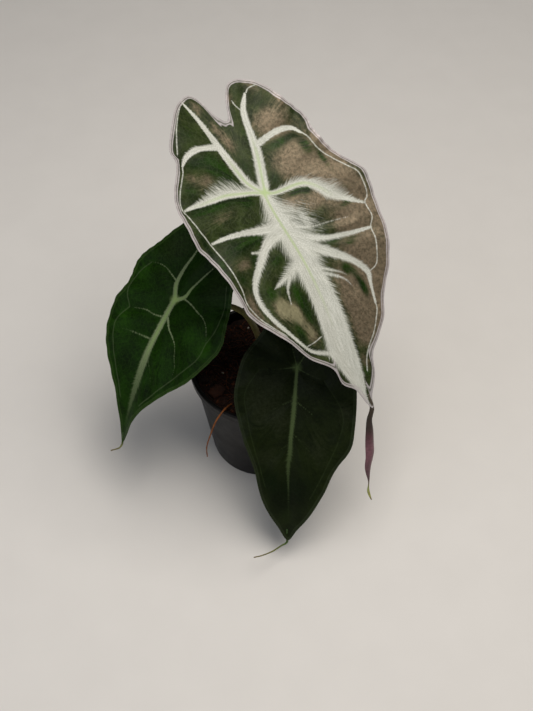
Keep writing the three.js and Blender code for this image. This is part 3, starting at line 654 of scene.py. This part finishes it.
def leafSkin(name, look):
    # living leaf: a waxy skin with a soft low gloss, over tissue coloured in streaks along the nerves, with
    # patches of painted sheen laid into the colour
    material, add = newMaterial(name, Roughness=look["roughness"], IOR=1.42,
                                Specular_IOR_Level=look["gloss"])
    placeAt, fringeAt, nerveAt, veinAt, fineAt, tintAt, marginAt = (
        add("Attribute", attribute_name=key, output=1)
        for key in ("place", "fringe", "nerve", "veinLine", "fineLine", "tint", "margin"))
    allThree = slice(3)
    fullness = add("SeparateXYZ", fringeAt, output=2)
    veinGap, veinOffset, veinGreen = add("SeparateXYZ", veinAt, output=allThree)
    fineGap, fineOffset, stripe = add("SeparateXYZ", fineAt, output=allThree)
    paintedSheen, deep, cream = add("SeparateXYZ", tintAt, output=allThree)
    edgeGap = add("SeparateXYZ", marginAt, output=1)
    radius = add("SeparateXYZ", nerveAt, output=2)

    # hairs stand across the veins and threads along them, nerves run from vein to edge
    scale = {key: 1 / size for key, size in patternSize.items()}
    across = add("VectorMath", fringeAt, (scale["hairWidth"], scale["hairLength"], 0), **product)
    hairs = add("TexNoise", across, 1.0, 3.0, 0.8)
    lengthwise = add("VectorMath", fringeAt, (scale["threadLength"], scale["threadWidth"], 0), **product)
    threads = add("TexNoise", lengthwise, 1.0, 2.0, 0.6)
    nerves = add("VectorMath", nerveAt, (30, 30, scale["nerveLength"]), **product)
    nerves = add("TexNoise", nerves, 1.0, 5.0, 0.75)
    broadNerves = add("VectorMath", nerveAt, (8, 8, scale["broadNerveLength"]), **product)
    broadNerves = add("TexNoise", broadNerves, 1.0, 3.0, 0.55)
    cloud = add("TexNoise", placeAt, scale["cloud"], 4.0, 0.6)
    mottle = add("TexNoise", placeAt, scale["mottle"], 6.0, 0.72)
    grain = add("TexNoise", placeAt, scale["grain"], 2.0, 0.7)

    def streaky(strength, nerveShare, mottleShare, start, end, most=1.0):
        # a patch's mask, with its edge drawn out along the nerves
        shift = add("Math", nerves, nerveShare, -0.5 * nerveShare, **fused)
        shift = add("Math", mottle, mottleShare, add("Math", shift, -0.5 * mottleShare), **fused)
        return add("MapRange", add("Math", strength, shift), start, end, 0.0, most, **softly)

    # green ground in two tones, then the brown of painted sheen, where the shader is also a little
    # metallic, the cream and the deep green over it
    tone = add("Math", nerves, 0.5, add("Math", cloud, 0.5, **product), **fused)
    ground = add("Mix", add("MapRange", tone, 0.38, 0.62, **softly), srgb(look["dark"]), srgb(look["mid"]),
                 **colours)
    # painted sheen: reflected light laid into the base colour as grey-brown streaks along the nerves
    paintedSheenMask = streaky(paintedSheen, 1.3, 0.7, 0.0, 0.95)
    tone = add("Math", nerves, 0.35, add("Math", mottle, 0.65, **product), **fused)
    brown = add("Mix", add("MapRange", tone, 0.34, 0.66, **softly), srgb(look["brownDark"]),
                srgb(look["brown"]), **colours)
    ground = add("Mix", paintedSheenMask, ground, brown, **colours)
    ground = add("Mix", streaky(cream, 0.9, 0.5, 0.15, 0.85, look["creamShare"]), ground,
                 srgb(look["cream"]), **colours)
    deepTone = add("Mix", add("MapRange", broadNerves, 0.35, 0.65, **softly), srgb(look["deep"]),
                   srgb(look["deepLight"]), **colours)
    ground = add("Mix", streaky(deep, 1.8, 0.7, 0.1, 1.0), ground, deepTone, **colours)
    # darker and lighter cells, a fine net of paler nerves and a few dark specks
    cells = add("MapRange", mottle, 0.3, 0.7, 1 - look["cells"], 1 + look["cells"])
    ground = add("Mix", 1.0, ground, cells, blend_type="MULTIPLY", **colours)
    net = add("TexVoronoi", placeAt, scale["net"], feature="DISTANCE_TO_EDGE")
    net = add("MapRange", net, 0.09, 0.0, **softly)
    ground = add("Mix", add("Math", net, look["netShare"], **product), ground, srgb(look["net"]), **colours)
    specks = add("MapRange", add("TexVoronoi", placeAt, scale["speckGap"]), 0.075, 0.03, 0.0, 0.6, **softly)
    ground = add("Mix", specks, ground, srgb(look["speck"]), **colours)

    # pale stripes on the veins: whole inside, then hair by hair thinner out to the fringe's end
    hair = add("MapRange", hairs, 0.34, 0.66, -look["feather"], look["feather"])
    frost = add("MapRange", add("Math", fullness, hair), 0.05, 0.95, 0.0, look["frostShare"], **softly)
    frost = add("Math", frost, stripe, **product)
    onFine = add("MapRange", add("Math", fineOffset, operation="ABSOLUTE"), 0.75, 0.15, **softly)
    onFine = add("Math", onFine, add("MapRange", fineGap, 2.0, 1.0), **product)
    onFine = add("Math", onFine, add("MapRange", mottle, 0.3, 0.6, 0.2, look["fineShare"]), **product)
    frost = add("Math", frost, onFine, operation="MAXIMUM")
    tone = add("Math", grain, 0.7, add("Math", threads, 0.3, **product), **fused)
    white = add("Mix", add("MapRange", tone, 0.38, 0.62, **softly), srgb(look["frostShade"]),
                srgb(look["frost"]), **colours)
    ground = add("Mix", frost, ground, white, **colours)
    # green lines down the middle of the veins, brightest where they meet
    middle = add("MapRange", add("Math", veinOffset, operation="ABSOLUTE"), 1.7, 0.3, **softly)
    middle = add("Math", middle, add("MapRange", veinGap, 3.2, 2.0), **product)
    middle = add("Math", middle, add("MapRange", veinGreen, 0.0, 0.5, 0.0, look["middleShare"]), **product)
    ground = add("Mix", middle, ground, srgb(look["middle"]), **colours)
    star = add("MapRange", radius, 5.5, 0.5, 0.0, look["starShare"], **softly)
    ground = add("Mix", star, ground, srgb(look["star"]), **colours)
    # a pale band round the edge, with a darker line along its middle
    band = add("Math", cloud, 1.4, 1.9, **fused)
    band = add("MapRange", add("Math", edgeGap, band, operation="SUBTRACT"), 0.3, -0.3, **softly)
    seam = add("Math", add("Math", edgeGap, 1.5, operation="SUBTRACT"), operation="ABSOLUTE")
    seam = add("MapRange", seam, 0.1, 0.55, 1 - look["edgeSeam"], 1.0, **softly)
    band = add("Math", add("Math", band, seam, **product), add("MapRange", mottle, 0.3, 0.6, 0.7, 1.0),
               **product)
    band = add("Math", band, look["edgeShare"], **product)
    ground = add("Mix", band, ground, srgb(look["edge"]), **colours)

    relief = add("Math", nerves, 0.6, add("Math", mottle, 0.6, **product), **fused)
    relief = add("Math", frost, 0.25, add("Math", net, 0.15, relief, **fused), **fused)
    # the shader's metallic follows the same painted sheen mask
    metal = add("Math", paintedSheenMask, look["metal"], **product)
    dull = add("Math", frost, 0.25, look["roughness"], **fused)
    return dress(material, relief, look["relief"], 0.6, Base_Color=ground, Metallic=metal, Roughness=dull)


# brown and brownDark are the colours of the painted sheen: reflected light laid over the green in
# grey-brown
frostedLook = {
    "roughness": 0.45, "gloss": 0.15, "cells": 0.26, "dark": "#1d260d", "mid": "#35411f", "deep": "#122006",
    "deepLight": "#1d3606", "brown": "#786b58", "brownDark": "#564e3d", "cream": "#8b8769",
    "creamShare": 0.9, "net": "#8a8f78", "netShare": 0.06, "speck": "#3c2a20", "frost": "#d2d4cc",
    "frostShade": "#aaada2", "feather": 0.36, "frostShare": 1.0, "fineShare": 1.0, "middle": "#a7bb85",
    "middleShare": 0.6, "star": "#adc486", "starShare": 0.6, "edge": "#b3adae", "edgeSeam": 0.7,
    "edgeShare": 0.95, "metal": 0.25, "relief": 0.3}
greenLook = {
    "roughness": 0.36, "gloss": 0.08, "cells": 0.22, "dark": "#0c1f01", "mid": "#163302", "deep": "#071501",
    "deepLight": "#0d2002", "brown": "#223214", "brownDark": "#162408", "cream": "#24480a",
    "creamShare": 0.7, "net": "#2c4a18", "netShare": 0.2, "speck": "#0e1a06", "frost": "#86956f",
    "frostShade": "#6b7b57", "feather": 0.4, "frostShare": 0.95, "fineShare": 0.13, "middle": "#89a464",
    "middleShare": 0.6, "star": "#94b06a", "starShare": 0.6, "edge": "#3c5226", "edgeSeam": 0.7,
    "edgeShare": 0.5, "metal": 0.0, "relief": 0.3}
# front leaf: a dull dark green, darkened further by painted shade, since the large leaf shades it; its
# brown is painted sheen
dullShadedLook = {
    "roughness": 0.42, "gloss": 0.1, "cells": 0.14, "dark": "#101806", "mid": "#19220a", "deep": "#081002",
    "deepLight": "#0b1604", "brown": "#262c1b", "brownDark": "#1b220f", "cream": "#1a260a",
    "creamShare": 0.6, "net": "#303a24", "netShare": 0.06, "speck": "#10180a", "frost": "#55653f",
    "frostShade": "#465634", "feather": 0.4, "frostShare": 0.85, "fineShare": 0.04, "middle": "#5f7046",
    "middleShare": 0.5, "star": "#566a3c", "starShare": 0.6, "edge": "#3a4230", "edgeSeam": 0.7,
    "edgeShare": 0.4, "metal": 0.0, "relief": 0.4}


def undersideSkin(name, dark, light, rib):
    # underside: no wax, so duller and softer than the top, with paler raised veins
    material, add = newMaterial(name, Roughness=0.6, IOR=1.42, Specular_IOR_Level=0.3)
    placeAt = add("Attribute", attribute_name="place", output=1)
    nerveAt = add("Attribute", attribute_name="nerve", output=1)
    veinGap = add("SeparateXYZ", add("Attribute", attribute_name="veinLine", output=1))
    mottle = add("TexNoise", placeAt, 1 / 3.4, 5.0, 0.6)
    nerves = add("TexNoise", add("VectorMath", nerveAt, (26, 26, 1 / 16), **product), 1.0, 3.0, 0.6)
    tone = add("Math", nerves, 0.5, add("Math", mottle, 0.5, **product), **fused)
    base = add("Mix", add("MapRange", tone, 0.35, 0.65, **softly), srgb(dark), srgb(light), **colours)
    onVein = add("MapRange", veinGap, 2.6, 0.6, 0.0, 0.85, **softly)
    base = add("Mix", onVein, base, srgb(rib), **colours)
    return dress(material, tone, 0.3, 0.6, Base_Color=base)


def rolledTip(name, stops):
    # drip tip, rolled so that its underside shows: satin, with fine lines down its length
    material, add = newMaterial(name, Roughness=0.4, IOR=1.42, Specular_IOR_Level=0.4)
    down = add("SeparateXYZ", add("Attribute", attribute_name="margin", output=1))
    ramp = add("ValToRGB", down, stops=stops)
    streak = add("TexNoise", add("TexCoord", output=3), 1 / (3 * mm), 4.0, 0.6)
    shade = add("MapRange", streak, 0.3, 0.7, 0.6, 1.2)
    base = add("Mix", 1.0, ramp, shade, blend_type="MULTIPLY", **colours)
    return dress(material, streak, 0.15, 0.5, Base_Color=base)


def stemSkinMaterial():
    # leaf stem: smooth waxy skin, yellow-green above and tan below, with fine darker lines that run up it
    material, add = newMaterial("WaxyStemSkin", Roughness=0.42, IOR=1.42, Specular_IOR_Level=0.35)
    at = add("TexCoord", output=3)
    lines = add("TexNoise", add("VectorMath", at, (1.0, 1.0, 0.18), **product), 1 / (1.6 * mm), 4.0)
    spots = add("TexNoise", at, 1 / (4 * mm), 4.0, 0.65)
    height = add("SeparateXYZ", at, output=2)
    base = add("Mix", add("MapRange", height, 0.1, 0.17), srgb("#7d6a4e"), srgb("#77763f"), **colours)
    for pattern, start, end, share in ((lines, 0.5, 0.7, 0.55), (spots, 0.55, 0.72, 0.5)):
        mask = add("MapRange", pattern, start, end, 0.0, share, **softly)
        base = add("Mix", mask, base, srgb("#4f4228"), **colours)
    return dress(material, lines, 0.2, 0.5, Base_Color=base)


stemSkin = stemSkinMaterial()
purpleUnder = undersideSkin("PurpleLeafUnderside", "#3f252c", "#543640", "#7a6a62")
greenUnder = undersideSkin("PaleLeafUnderside", "#3c4d2e", "#4a5d38", "#76855c")
purpleTail = rolledTip("PurpleRolledTip", [
    (0.0, "#5a5448"), (0.11, "#443a2c"), (0.2, "#2e241a"), (0.28, "#33221c"), (0.36, "#553038"),
    (0.46, "#784d58"), (0.62, "#69424c"), (0.76, "#4c2d33"), (0.81, "#5f5236"), (0.86, "#8f9a48"),
    (0.95, "#a3a452"), (1.0, "#5c3c22")])
threadTail = rolledTip("DryThreadTip", [
    (0.0, "#24400f"), (0.3, "#3c5520"), (0.6, "#66692e"), (1.0, "#6b5c2c")])

# each leaf skin has painted sheen in its grey-brown patches; the front leaf's colours also hold painted
# shade
makeLeaf(leafLarge, leafSkin("FrostedMetallicLeafSkinWithPaintedSheen", frostedLook), purpleUnder, purpleTail, stemSkin)
makeLeaf(leafLeft, leafSkin("SatinGreenLeafSkinWithPaintedSheen", greenLook), greenUnder, threadTail, stemSkin)
makeLeaf(leafFront, leafSkin("DullGreenLeafSkinWithPaintedShadeAndSheen", dullShadedLook), greenUnder, threadTail, stemSkin)
print("leaf blades made")

# Stems

stems = {
    "stem_large": {"path": [(5, 15, 95), (6.5, 20, 135), (7, 26, 180), (6, 27, 225)], "leaf": leafLarge,
                   "radius": (4, 2.6)},
    "stem_left": {"path": [(-2.5, 8, 95), (-2.5, 8, 122), (-9, 8.5, 146), (-18, 8.5, 160), (-32, 8.5, 166)],
                  "leaf": leafLeft, "radius": (2.9, 2)},
    "stem_front": {"path": [(9, 2, 95), (11, -3, 109), (16, -16, 125)], "leaf": leafFront,
                   "radius": (3, 2.2)},
}


def makeStem(node, stem, rings=90, sides=28):
    way = np.array(stem["leaf"]["stalk"]) / np.linalg.norm(stem["leaf"]["stalk"])
    end = np.array(stem["leaf"]["seat"], dtype=float) - way * (blade["stalkLength"] + 0.3)
    path = smoothLine([*stem["path"], tuple(end - 6 * way), tuple(end)], rings)
    points = sweepRings(path, np.linspace(*stem["radius"], rings), sides)
    # seven shallow ridges run the length of the stem
    ridge = 1 + 0.025 * np.cos(7 * np.linspace(0, 2 * math.pi, sides, endpoint=False))
    points = path[:, None] + (points - path[:, None]) * ridge[None, :, None]
    piece = makePiece(node.replace("_", "") + "Rod", points.reshape(-1, 3) * mm, ringFaces(rings, sides),
                      [stemSkin])
    standFor(piece, node)


for stemNode, stemShape in stems.items():
    makeStem(stemNode, stemShape)
print("stems made")

# Pot

pot = {"rimRadius": 60, "baseRadius": 44, "height": 105.6, "wall": 1.6, "floor": 2.4, "rimBand": 8,
       "rimOverhang": 2.4, "sides": 160, "drainHoles": 8, "drainRing": 33, "drainRadius": 3.5}


def potWall(z):
    top = pot["rimRadius"] - pot["rimOverhang"]
    return pot["baseRadius"] + (top - pot["baseRadius"]) * z / pot["height"]


def blackPlastic():
    # moulded polypropylene: a fine dull grain from the mould, faint scuffs and a little soil dust low down
    material, add = newMaterial("BlackMouldedPolypropylene", IOR=1.49, Specular_IOR_Level=0.15)
    at = add("TexCoord", output=3)
    scuffs = add("TexNoise", at, 1 / (14 * mm), 8.0, 0.7)
    dust = add("TexNoise", at, 1 / (5 * mm), 6.0, 0.7)
    low = add("MapRange", add("SeparateXYZ", at, output=2), 0.12, 0.0)
    dusty = add("Math", add("MapRange", dust, 0.55, 0.8, 0.0, 0.35), low, **product)
    base = add("Mix", dusty, srgb("#060606"), srgb("#2e2722"), **colours)
    # mould grain is about 0.1 mm, drawn at 0.6 mm so that it shows
    grain = add("TexNoise", at, 1 / (0.6 * mm), 2.0)
    return dress(material, grain, 0.06, 0.4, Base_Color=base,
                 Roughness=add("MapRange", scuffs, 0.2, 0.8, 0.3, 0.5))


def makePot():
    rim, height, wall, floor = pot["rimRadius"], pot["height"], pot["wall"], pot["floor"]
    under = height - pot["rimBand"]
    profile = [(0, 0), (pot["baseRadius"] - 1, 0), (pot["baseRadius"] - 0.3, 0.3), (pot["baseRadius"], 1),
               (potWall(3), 3), (potWall(under * 0.5), under * 0.5), (potWall(under) - 0.1, under - 0.5),
               (potWall(under) + 0.3, under), (rim - 0.9, under), (rim - 0.5, under + 0.4),
               (rim - 0.4, height - 3), (rim, height - 2.2), (rim, height - 1), (rim - 0.3, height - 0.3),
               (rim - 1, height), (rim - 2, height), (rim - 3, height - 0.4), (rim - 3.6, height - 1.4),
               (potWall(under) - wall, under - 1), (potWall(under * 0.5) - wall, under * 0.5),
               (potWall(floor) - wall, floor + 0.6), (potWall(floor) - wall - 0.6, floor), (0, floor)]
    count = pot["sides"]
    angles = np.linspace(0, 2 * math.pi, count, endpoint=False)
    points = [(0, 0, 0)]
    for r, z in profile[1:-1]:
        points += [(r * math.cos(a), r * math.sin(a), z) for a in angles]
    points.append((0, 0, floor))
    faces = [(0, 1 + (i + 1) % count, 1 + i) for i in range(count)]
    faces += ringFaces(len(profile) - 2, count, 1, ends=False)
    last = len(points) - 1
    faces += [(last - count + i, last - count + (i + 1) % count, last) for i in range(count)]
    piece = makePiece("potShell", np.array(points) * mm, faces, [blackPlastic()])
    drills = []
    for i in range(pot["drainHoles"]):
        angle = 2 * math.pi * (i + 0.5) / pot["drainHoles"]
        x, y = pot["drainRing"] * math.cos(angle), pot["drainRing"] * math.sin(angle)
        rings = sweepRings([(x, y, -5), (x, y, floor + 5)], [pot["drainRadius"]] * 2, 24)
        drill = makePiece("drill%d" % i, rings.reshape(-1, 3) * mm, ringFaces(2, 24), [])
        cut = piece.modifiers.new("drain", "BOOLEAN")
        cut.operation, cut.object, cut.solver = "DIFFERENCE", drill, "EXACT"
        drills.append(drill)
    bpy.context.view_layer.update()
    cutMesh = bpy.data.meshes.new_from_object(piece.evaluated_get(bpy.context.evaluated_depsgraph_get()))
    piece.modifiers.clear()
    piece.data = cutMesh
    for drill in drills:
        bpy.data.objects.remove(drill)
    standFor(piece, "pot")


makePot()
print("pot made")

# Soil

soil = {"belowRim": 9, "lump": 1.3, "rings": 70, "sides": 200, "chips": 900, "fibres": 260, "perlite": 14,
        "seed": 7105}
crown = {"place": (3.5, 8), "bottom": 72, "top": 107, "footRadius": 7, "bellyRadius": 12, "neckRadius": 9}


def soilTop(x, y):
    lumps = math.sin(x * 0.31 + 1) * math.cos(y * 0.27) + 0.7 * math.sin(x * 0.13 - y * 0.19 + 2)
    crumbs = noise.fractal(Vector((x * 0.22, y * 0.22, 3.0)), 0.8, 2.0, 5)
    return pot["height"] - soil["belowRim"] + soil["lump"] * lumps + 1.1 * crumbs


def coirMix():
    # damp coir and bark: crumbly, dull and dark brown, with red-brown chips and dry fibres; its hollows go
    # nearly black with painted shade
    material, add = newMaterial("DampCoirAndBarkMix", Roughness=0.85, IOR=1.45, Specular_IOR_Level=0.3)
    at = add("TexCoord", output=3)
    crumbs = add("TexNoise", at, 1 / (2.2 * mm), 8.0, 0.7)
    wide = add("TexNoise", at, 1 / (9 * mm), 4.0)
    tint = add("SeparateXYZ", add("Attribute", attribute_name="tint", output=1))
    # the crumbs noise both sinks the bump and darkens the colour, so the low spots are painted shade over
    # the coir's own dark brown
    tone = add("Math", crumbs, 0.5, add("Math", tint, 0.62, -0.05, **fused), **fused)
    ramp = add("ValToRGB", tone, stops=[(0, "#0d0705"), (0.35, "#1f110b"), (0.55, "#371d12"),
                                        (0.75, "#5a3019"), (1, "#8a5228")])
    shade = add("MapRange", wide, 0.3, 0.7, 0.65, 1.15)
    base = add("Mix", 1.0, ramp, shade, blend_type="MULTIPLY", **colours)
    return dress(material, crumbs, 0.8, 0.8, Base_Color=base)


def perliteGrain():
    # expanded volcanic glass: chalky white crumbs with a little soil on them
    material, add = newMaterial("ExpandedPerlite", Roughness=0.85, IOR=1.5)
    dirt = add("TexNoise", add("TexCoord", output=3), 1 / (1.5 * mm), 5.0)
    mask = add("MapRange", dirt, 0.45, 0.8, **softly)
    base = add("Mix", mask, srgb("#bdb8ad"), srgb("#7b6c5f"), **colours)
    return dress(material, dirt, 0.3, 0.6, Base_Color=base)


def crumb(draw, size, centre, tilt, turn, sides=5):
    # a rough splintery chip
    levels = ((0.75, 0.8), (1.0, 0.1), (0.7, -0.85))
    points = [Vector((0, 0, size[2]))]
    for radius, level in levels:
        for i in range(sides):
            angle = 2 * math.pi * (i + draw.uniform(-0.25, 0.25)) / sides
            r = radius * draw.uniform(0.7, 1.25)
            points.append(Vector((r * math.cos(angle) * size[0], r * math.sin(angle) * size[1],
                                  level * size[2] * draw.uniform(0.7, 1.2))))
    points.append(Vector((0, 0, -size[2])))
    faces = [(0, 1 + i, 1 + (i + 1) % sides) for i in range(sides)]
    for j in range(len(levels) - 1):
        a = 1 + j * sides
        faces += [(a + i, a + sides + i, a + sides + (i + 1) % sides, a + (i + 1) % sides)
                  for i in range(sides)]
    a = 1 + (len(levels) - 1) * sides
    faces += [(a + i, len(points) - 1, a + (i + 1) % sides) for i in range(sides)]
    spin = Matrix.Rotation(turn, 4, "Z") @ Matrix.Rotation(tilt, 4, "X")
    return [centre + spin @ p for p in points], faces


def makeSoil():
    draw = random.Random(soil["seed"])
    wallGap = pot["wall"] + 0.3
    count = soil["sides"]
    level = pot["height"] - soil["belowRim"]
    holeX, holeY = crown["place"]
    holeRadius = crown["bellyRadius"] + 0.2
    outer = potWall(level) - wallGap
    points, faces, skins = [], [], []
    angles = [2 * math.pi * i / count for i in range(count)]
    # the bed's wall from the pot's floor up, then its lumpy top in to the crown
    for z in (pot["floor"], level * 0.5, level - 2):
        radius = potWall(z) - wallGap
        points += [Vector((radius * math.cos(a), radius * math.sin(a), z)) for a in angles]
    for j in range(soil["rings"] + 1):
        share = j / soil["rings"]
        for a in angles:
            x = (1 - share) * outer * math.cos(a) + share * (holeX + holeRadius * math.cos(a))
            y = (1 - share) * outer * math.sin(a) + share * (holeY + holeRadius * math.sin(a))
            points.append(Vector((x, y, soilTop(x, y))))
    points += [Vector((holeX + crown["footRadius"] * math.cos(a), holeY + crown["footRadius"] * math.sin(a),
                       crown["bottom"] - 0.3)) for a in angles]
    faces += ringFaces(soil["rings"] + 5, count)
    skins += [0] * len(faces)
    tints = [draw.uniform(0.1, 0.5) for _ in points]

    def put(newPoints, newFaces, skin, tint):
        first = len(points)
        points.extend(newPoints)
        faces.extend(tuple(first + k for k in face) for face in newFaces)
        skins.extend([skin] * len(newFaces))
        tints.extend([tint] * len(newPoints))

    def spot(limit):
        while True:
            radius, angle = limit * math.sqrt(draw.random()), draw.uniform(0, 2 * math.pi)
            x, y = radius * math.cos(angle), radius * math.sin(angle)
            if math.hypot(x - holeX, y - holeY) > holeRadius + 2.5:
                return x, y

    for _ in range(soil["chips"]):
        x, y = spot(outer - 3)
        long = draw.choice((1.0, 1.3, 1.7, 2.3, 3.2)) * draw.uniform(0.7, 1.2)
        size = (long, long * draw.uniform(0.25, 0.6), long * draw.uniform(0.15, 0.4))
        centre = Vector((x, y, soilTop(x, y) + size[2] * draw.uniform(-0.1, 0.8)))
        put(*crumb(draw, size, centre, draw.uniform(-0.6, 0.6), draw.uniform(0, 2 * math.pi)), 0,
            draw.uniform(0.05, 1.0) ** 1.4)
    for _ in range(soil["perlite"]):
        x, y = spot(outer - 4)
        long = draw.uniform(0.7, 1.4)
        centre = Vector((x, y, soilTop(x, y) + 0.4 * long))
        put(*crumb(draw, (long, long * 0.85, long * 0.75), centre, 0.3, draw.uniform(0, 2 * math.pi)), 1,
            0.5)
    for _ in range(soil["fibres"]):
        x, y = spot(outer - 8)
        heading = draw.uniform(0, 2 * math.pi)
        step = draw.uniform(5, 18) / 8
        lift = draw.uniform(0.5, 2.2)
        path = []
        for k in range(8):
            heading += draw.uniform(-0.4, 0.4)
            x, y = x + math.cos(heading) * step, y + math.sin(heading) * step
            if math.hypot(x, y) > outer - 2:
                break
            path.append((x, y, soilTop(x, y) + 0.4 + lift * math.sin(math.pi * k / 7)))
        if len(path) > 3:
            rings = sweepRings(smoothLine(path, 14), np.linspace(0.26, 0.12, 14), 5)
            put([Vector(p) for p in rings.reshape(-1, 3)], ringFaces(14, 5), 0, draw.uniform(0.55, 1.0))
    # one broad flat flake of bark near the rim at the front left
    flake = Vector((-37, -26, soilTop(-37, -26) + 1.2))
    put(*crumb(draw, (7.5, 5.6, 1.1), flake, 0.15, 0.5, sides=9), 0, 0.55)
    piece = makePiece("soilBed", np.array(points) * mm, faces, [coirMix(), perliteGrain()], skins,
                      {"tint": [(tint, 0, 0) for tint in tints]})
    standFor(piece, "soil")


makeSoil()
print("soil made")

# Crown: the short stem base, ringed by the scars of old leaves


def makeCrown(rings=60, sides=48):
    # firm waxy stem base: green above, brown and scarred below, with fine upright lines
    material, add = newMaterial("ScarredStemBase", Roughness=0.55, IOR=1.42, Specular_IOR_Level=0.35)
    at = add("TexCoord", output=3)
    lines = add("TexNoise", add("VectorMath", at, (1.0, 1.0, 0.25), **product), 1 / (2 * mm), 5.0)
    height = add("SeparateXYZ", at, output=2)
    base = add("Mix", add("MapRange", height, 0.094, 0.106, **softly), srgb("#45341f"), srgb("#67633a"),
               **colours)
    mask = add("MapRange", lines, 0.45, 0.7, 0.0, 0.7)
    base = add("Mix", mask, base, srgb("#34291a"), **colours)
    dress(material, lines, 0.5, 0.7, Base_Color=base)
    levels = np.linspace(0, 1, rings)
    marks = [(0, crown["footRadius"]), (0.34, crown["bellyRadius"] - 0.5), (0.57, crown["bellyRadius"]),
             (0.83, crown["neckRadius"] + 1.5), (0.97, crown["neckRadius"]), (1, crown["neckRadius"] - 1.5)]
    # leaf scars are shallow steps round the base
    radii = np.interp(levels, *zip(*marks)) - 0.35 * (np.sin(levels * 60) > 0.75)
    heights = crown["bottom"] + levels * (crown["top"] - crown["bottom"])
    path = [(*crown["place"], z) for z in heights]
    points = sweepRings(path, radii, sides)
    piece = makePiece("crownBase", points.reshape(-1, 3) * mm, ringFaces(rings, sides), [material])
    standFor(piece, "crown")


makeCrown()
print("crown made")

# Coir strand over the rim

strand = {
    "radius": 0.8,
    "path": [(-24, -34, 94), (-27, -41, 100), (-30.9, -51, 107.3), (-36.8, -57.4, 101.5),
             (-41.5, -58.5, 85), (-45.4, -57, 65), (-45.7, -56, 49)],
}


def makeStrand(rings=70, sides=12):
    # dry coconut fibre: dull orange-brown, finely lined along its length
    material, add = newMaterial("DryCoconutFibre", Roughness=0.75, IOR=1.45, Specular_IOR_Level=0.3)
    lines = add("TexNoise", add("TexCoord", output=3), 1 / (1.2 * mm), 5.0)
    mask = add("MapRange", lines, 0.35, 0.7, **softly)
    base = add("Mix", mask, srgb("#8f5526"), srgb("#5a3216"), **colours)
    dress(material, lines, 0.15, 0.6, Base_Color=base)
    radii = np.linspace(strand["radius"], strand["radius"] * 0.6, rings)
    radii = radii * (1 + 0.1 * np.sin(np.arange(rings) * 0.9))
    points = sweepRings(smoothLine(strand["path"], rings), radii, sides)
    piece = makePiece("coirStrand", points.reshape(-1, 3) * mm, ringFaces(rings, sides), [material])
    standFor(piece, "coir_strand")


makeStrand()
print("strand made")

# Floor, lights and camera

studio = {
    "floorColour": "#dedcd8", "floorGrainColour": "#d8d6d2", "floorSize": 8,
    "cameraPlace": (0.00327, -0.55055, 0.81758), "cameraTilt": 38, "focal": 55.7, "sensorWidth": 36,
    "lampTarget": (0, 0, 0.17), "skyColour": "#e9ebee", "sky": 0.14,
    "lights": {
        "keyLight": {"place": (0.25, -0.1, 1.4), "size": 0.9, "power": 17, "colour": "#fff8f0"},
        "fillLight": {"place": (-0.9, -0.7, 0.9), "size": 1.2, "power": 4, "colour": "#f2f5ff"},
    },
}


def makeStage():
    material, add = newMaterial("PalePaperFloor", Roughness=0.8)
    grain = add("TexNoise", add("TexCoord", output=3), 1 / (40 * mm), 3.0)
    base = add("Mix", grain, srgb(studio["floorColour"]), srgb(studio["floorGrainColour"]), **colours)
    dress(material, grain, 0.05, 0.2, Base_Color=base)
    half = studio["floorSize"] / 2
    corners = [(-half, -half, 0), (half, -half, 0), (half, half, 0), (-half, half, 0)]
    floor = makePiece("studioFloor", corners, [(0, 1, 2, 3)], [material])
    for name, lamp in studio["lights"].items():
        data = bpy.data.lights.new(name, "AREA")
        data.size, data.energy, data.color = lamp["size"], lamp["power"], srgb(lamp["colour"])[:3]
        light = bpy.data.objects.new(name, data)
        light.location = lamp["place"]
        towards = Vector(studio["lampTarget"]) - light.location
        light.rotation_euler = towards.to_track_quat("-Z", "Y").to_euler()
        bpy.context.scene.collection.objects.link(light)
    world = bpy.data.worlds.new("softStudio")
    world.use_nodes = True
    world.node_tree.nodes["Background"].inputs["Color"].default_value = srgb(studio["skyColour"])
    world.node_tree.nodes["Background"].inputs["Strength"].default_value = studio["sky"]
    bpy.context.scene.world = world
    bpy.context.scene.view_settings.view_transform = "Standard"


def makeCamera():
    data = bpy.data.cameras.new("photoCamera")
    data.lens = studio["focal"]
    data.sensor_width = studio["sensorWidth"]
    camera = bpy.data.objects.new("photoCamera", data)
    camera.location = studio["cameraPlace"]
    camera.rotation_euler = (math.radians(studio["cameraTilt"]), 0, 0)
    bpy.context.scene.collection.objects.link(camera)
    bpy.context.scene.camera = camera


makeStage()
makeCamera()
print("stage set")
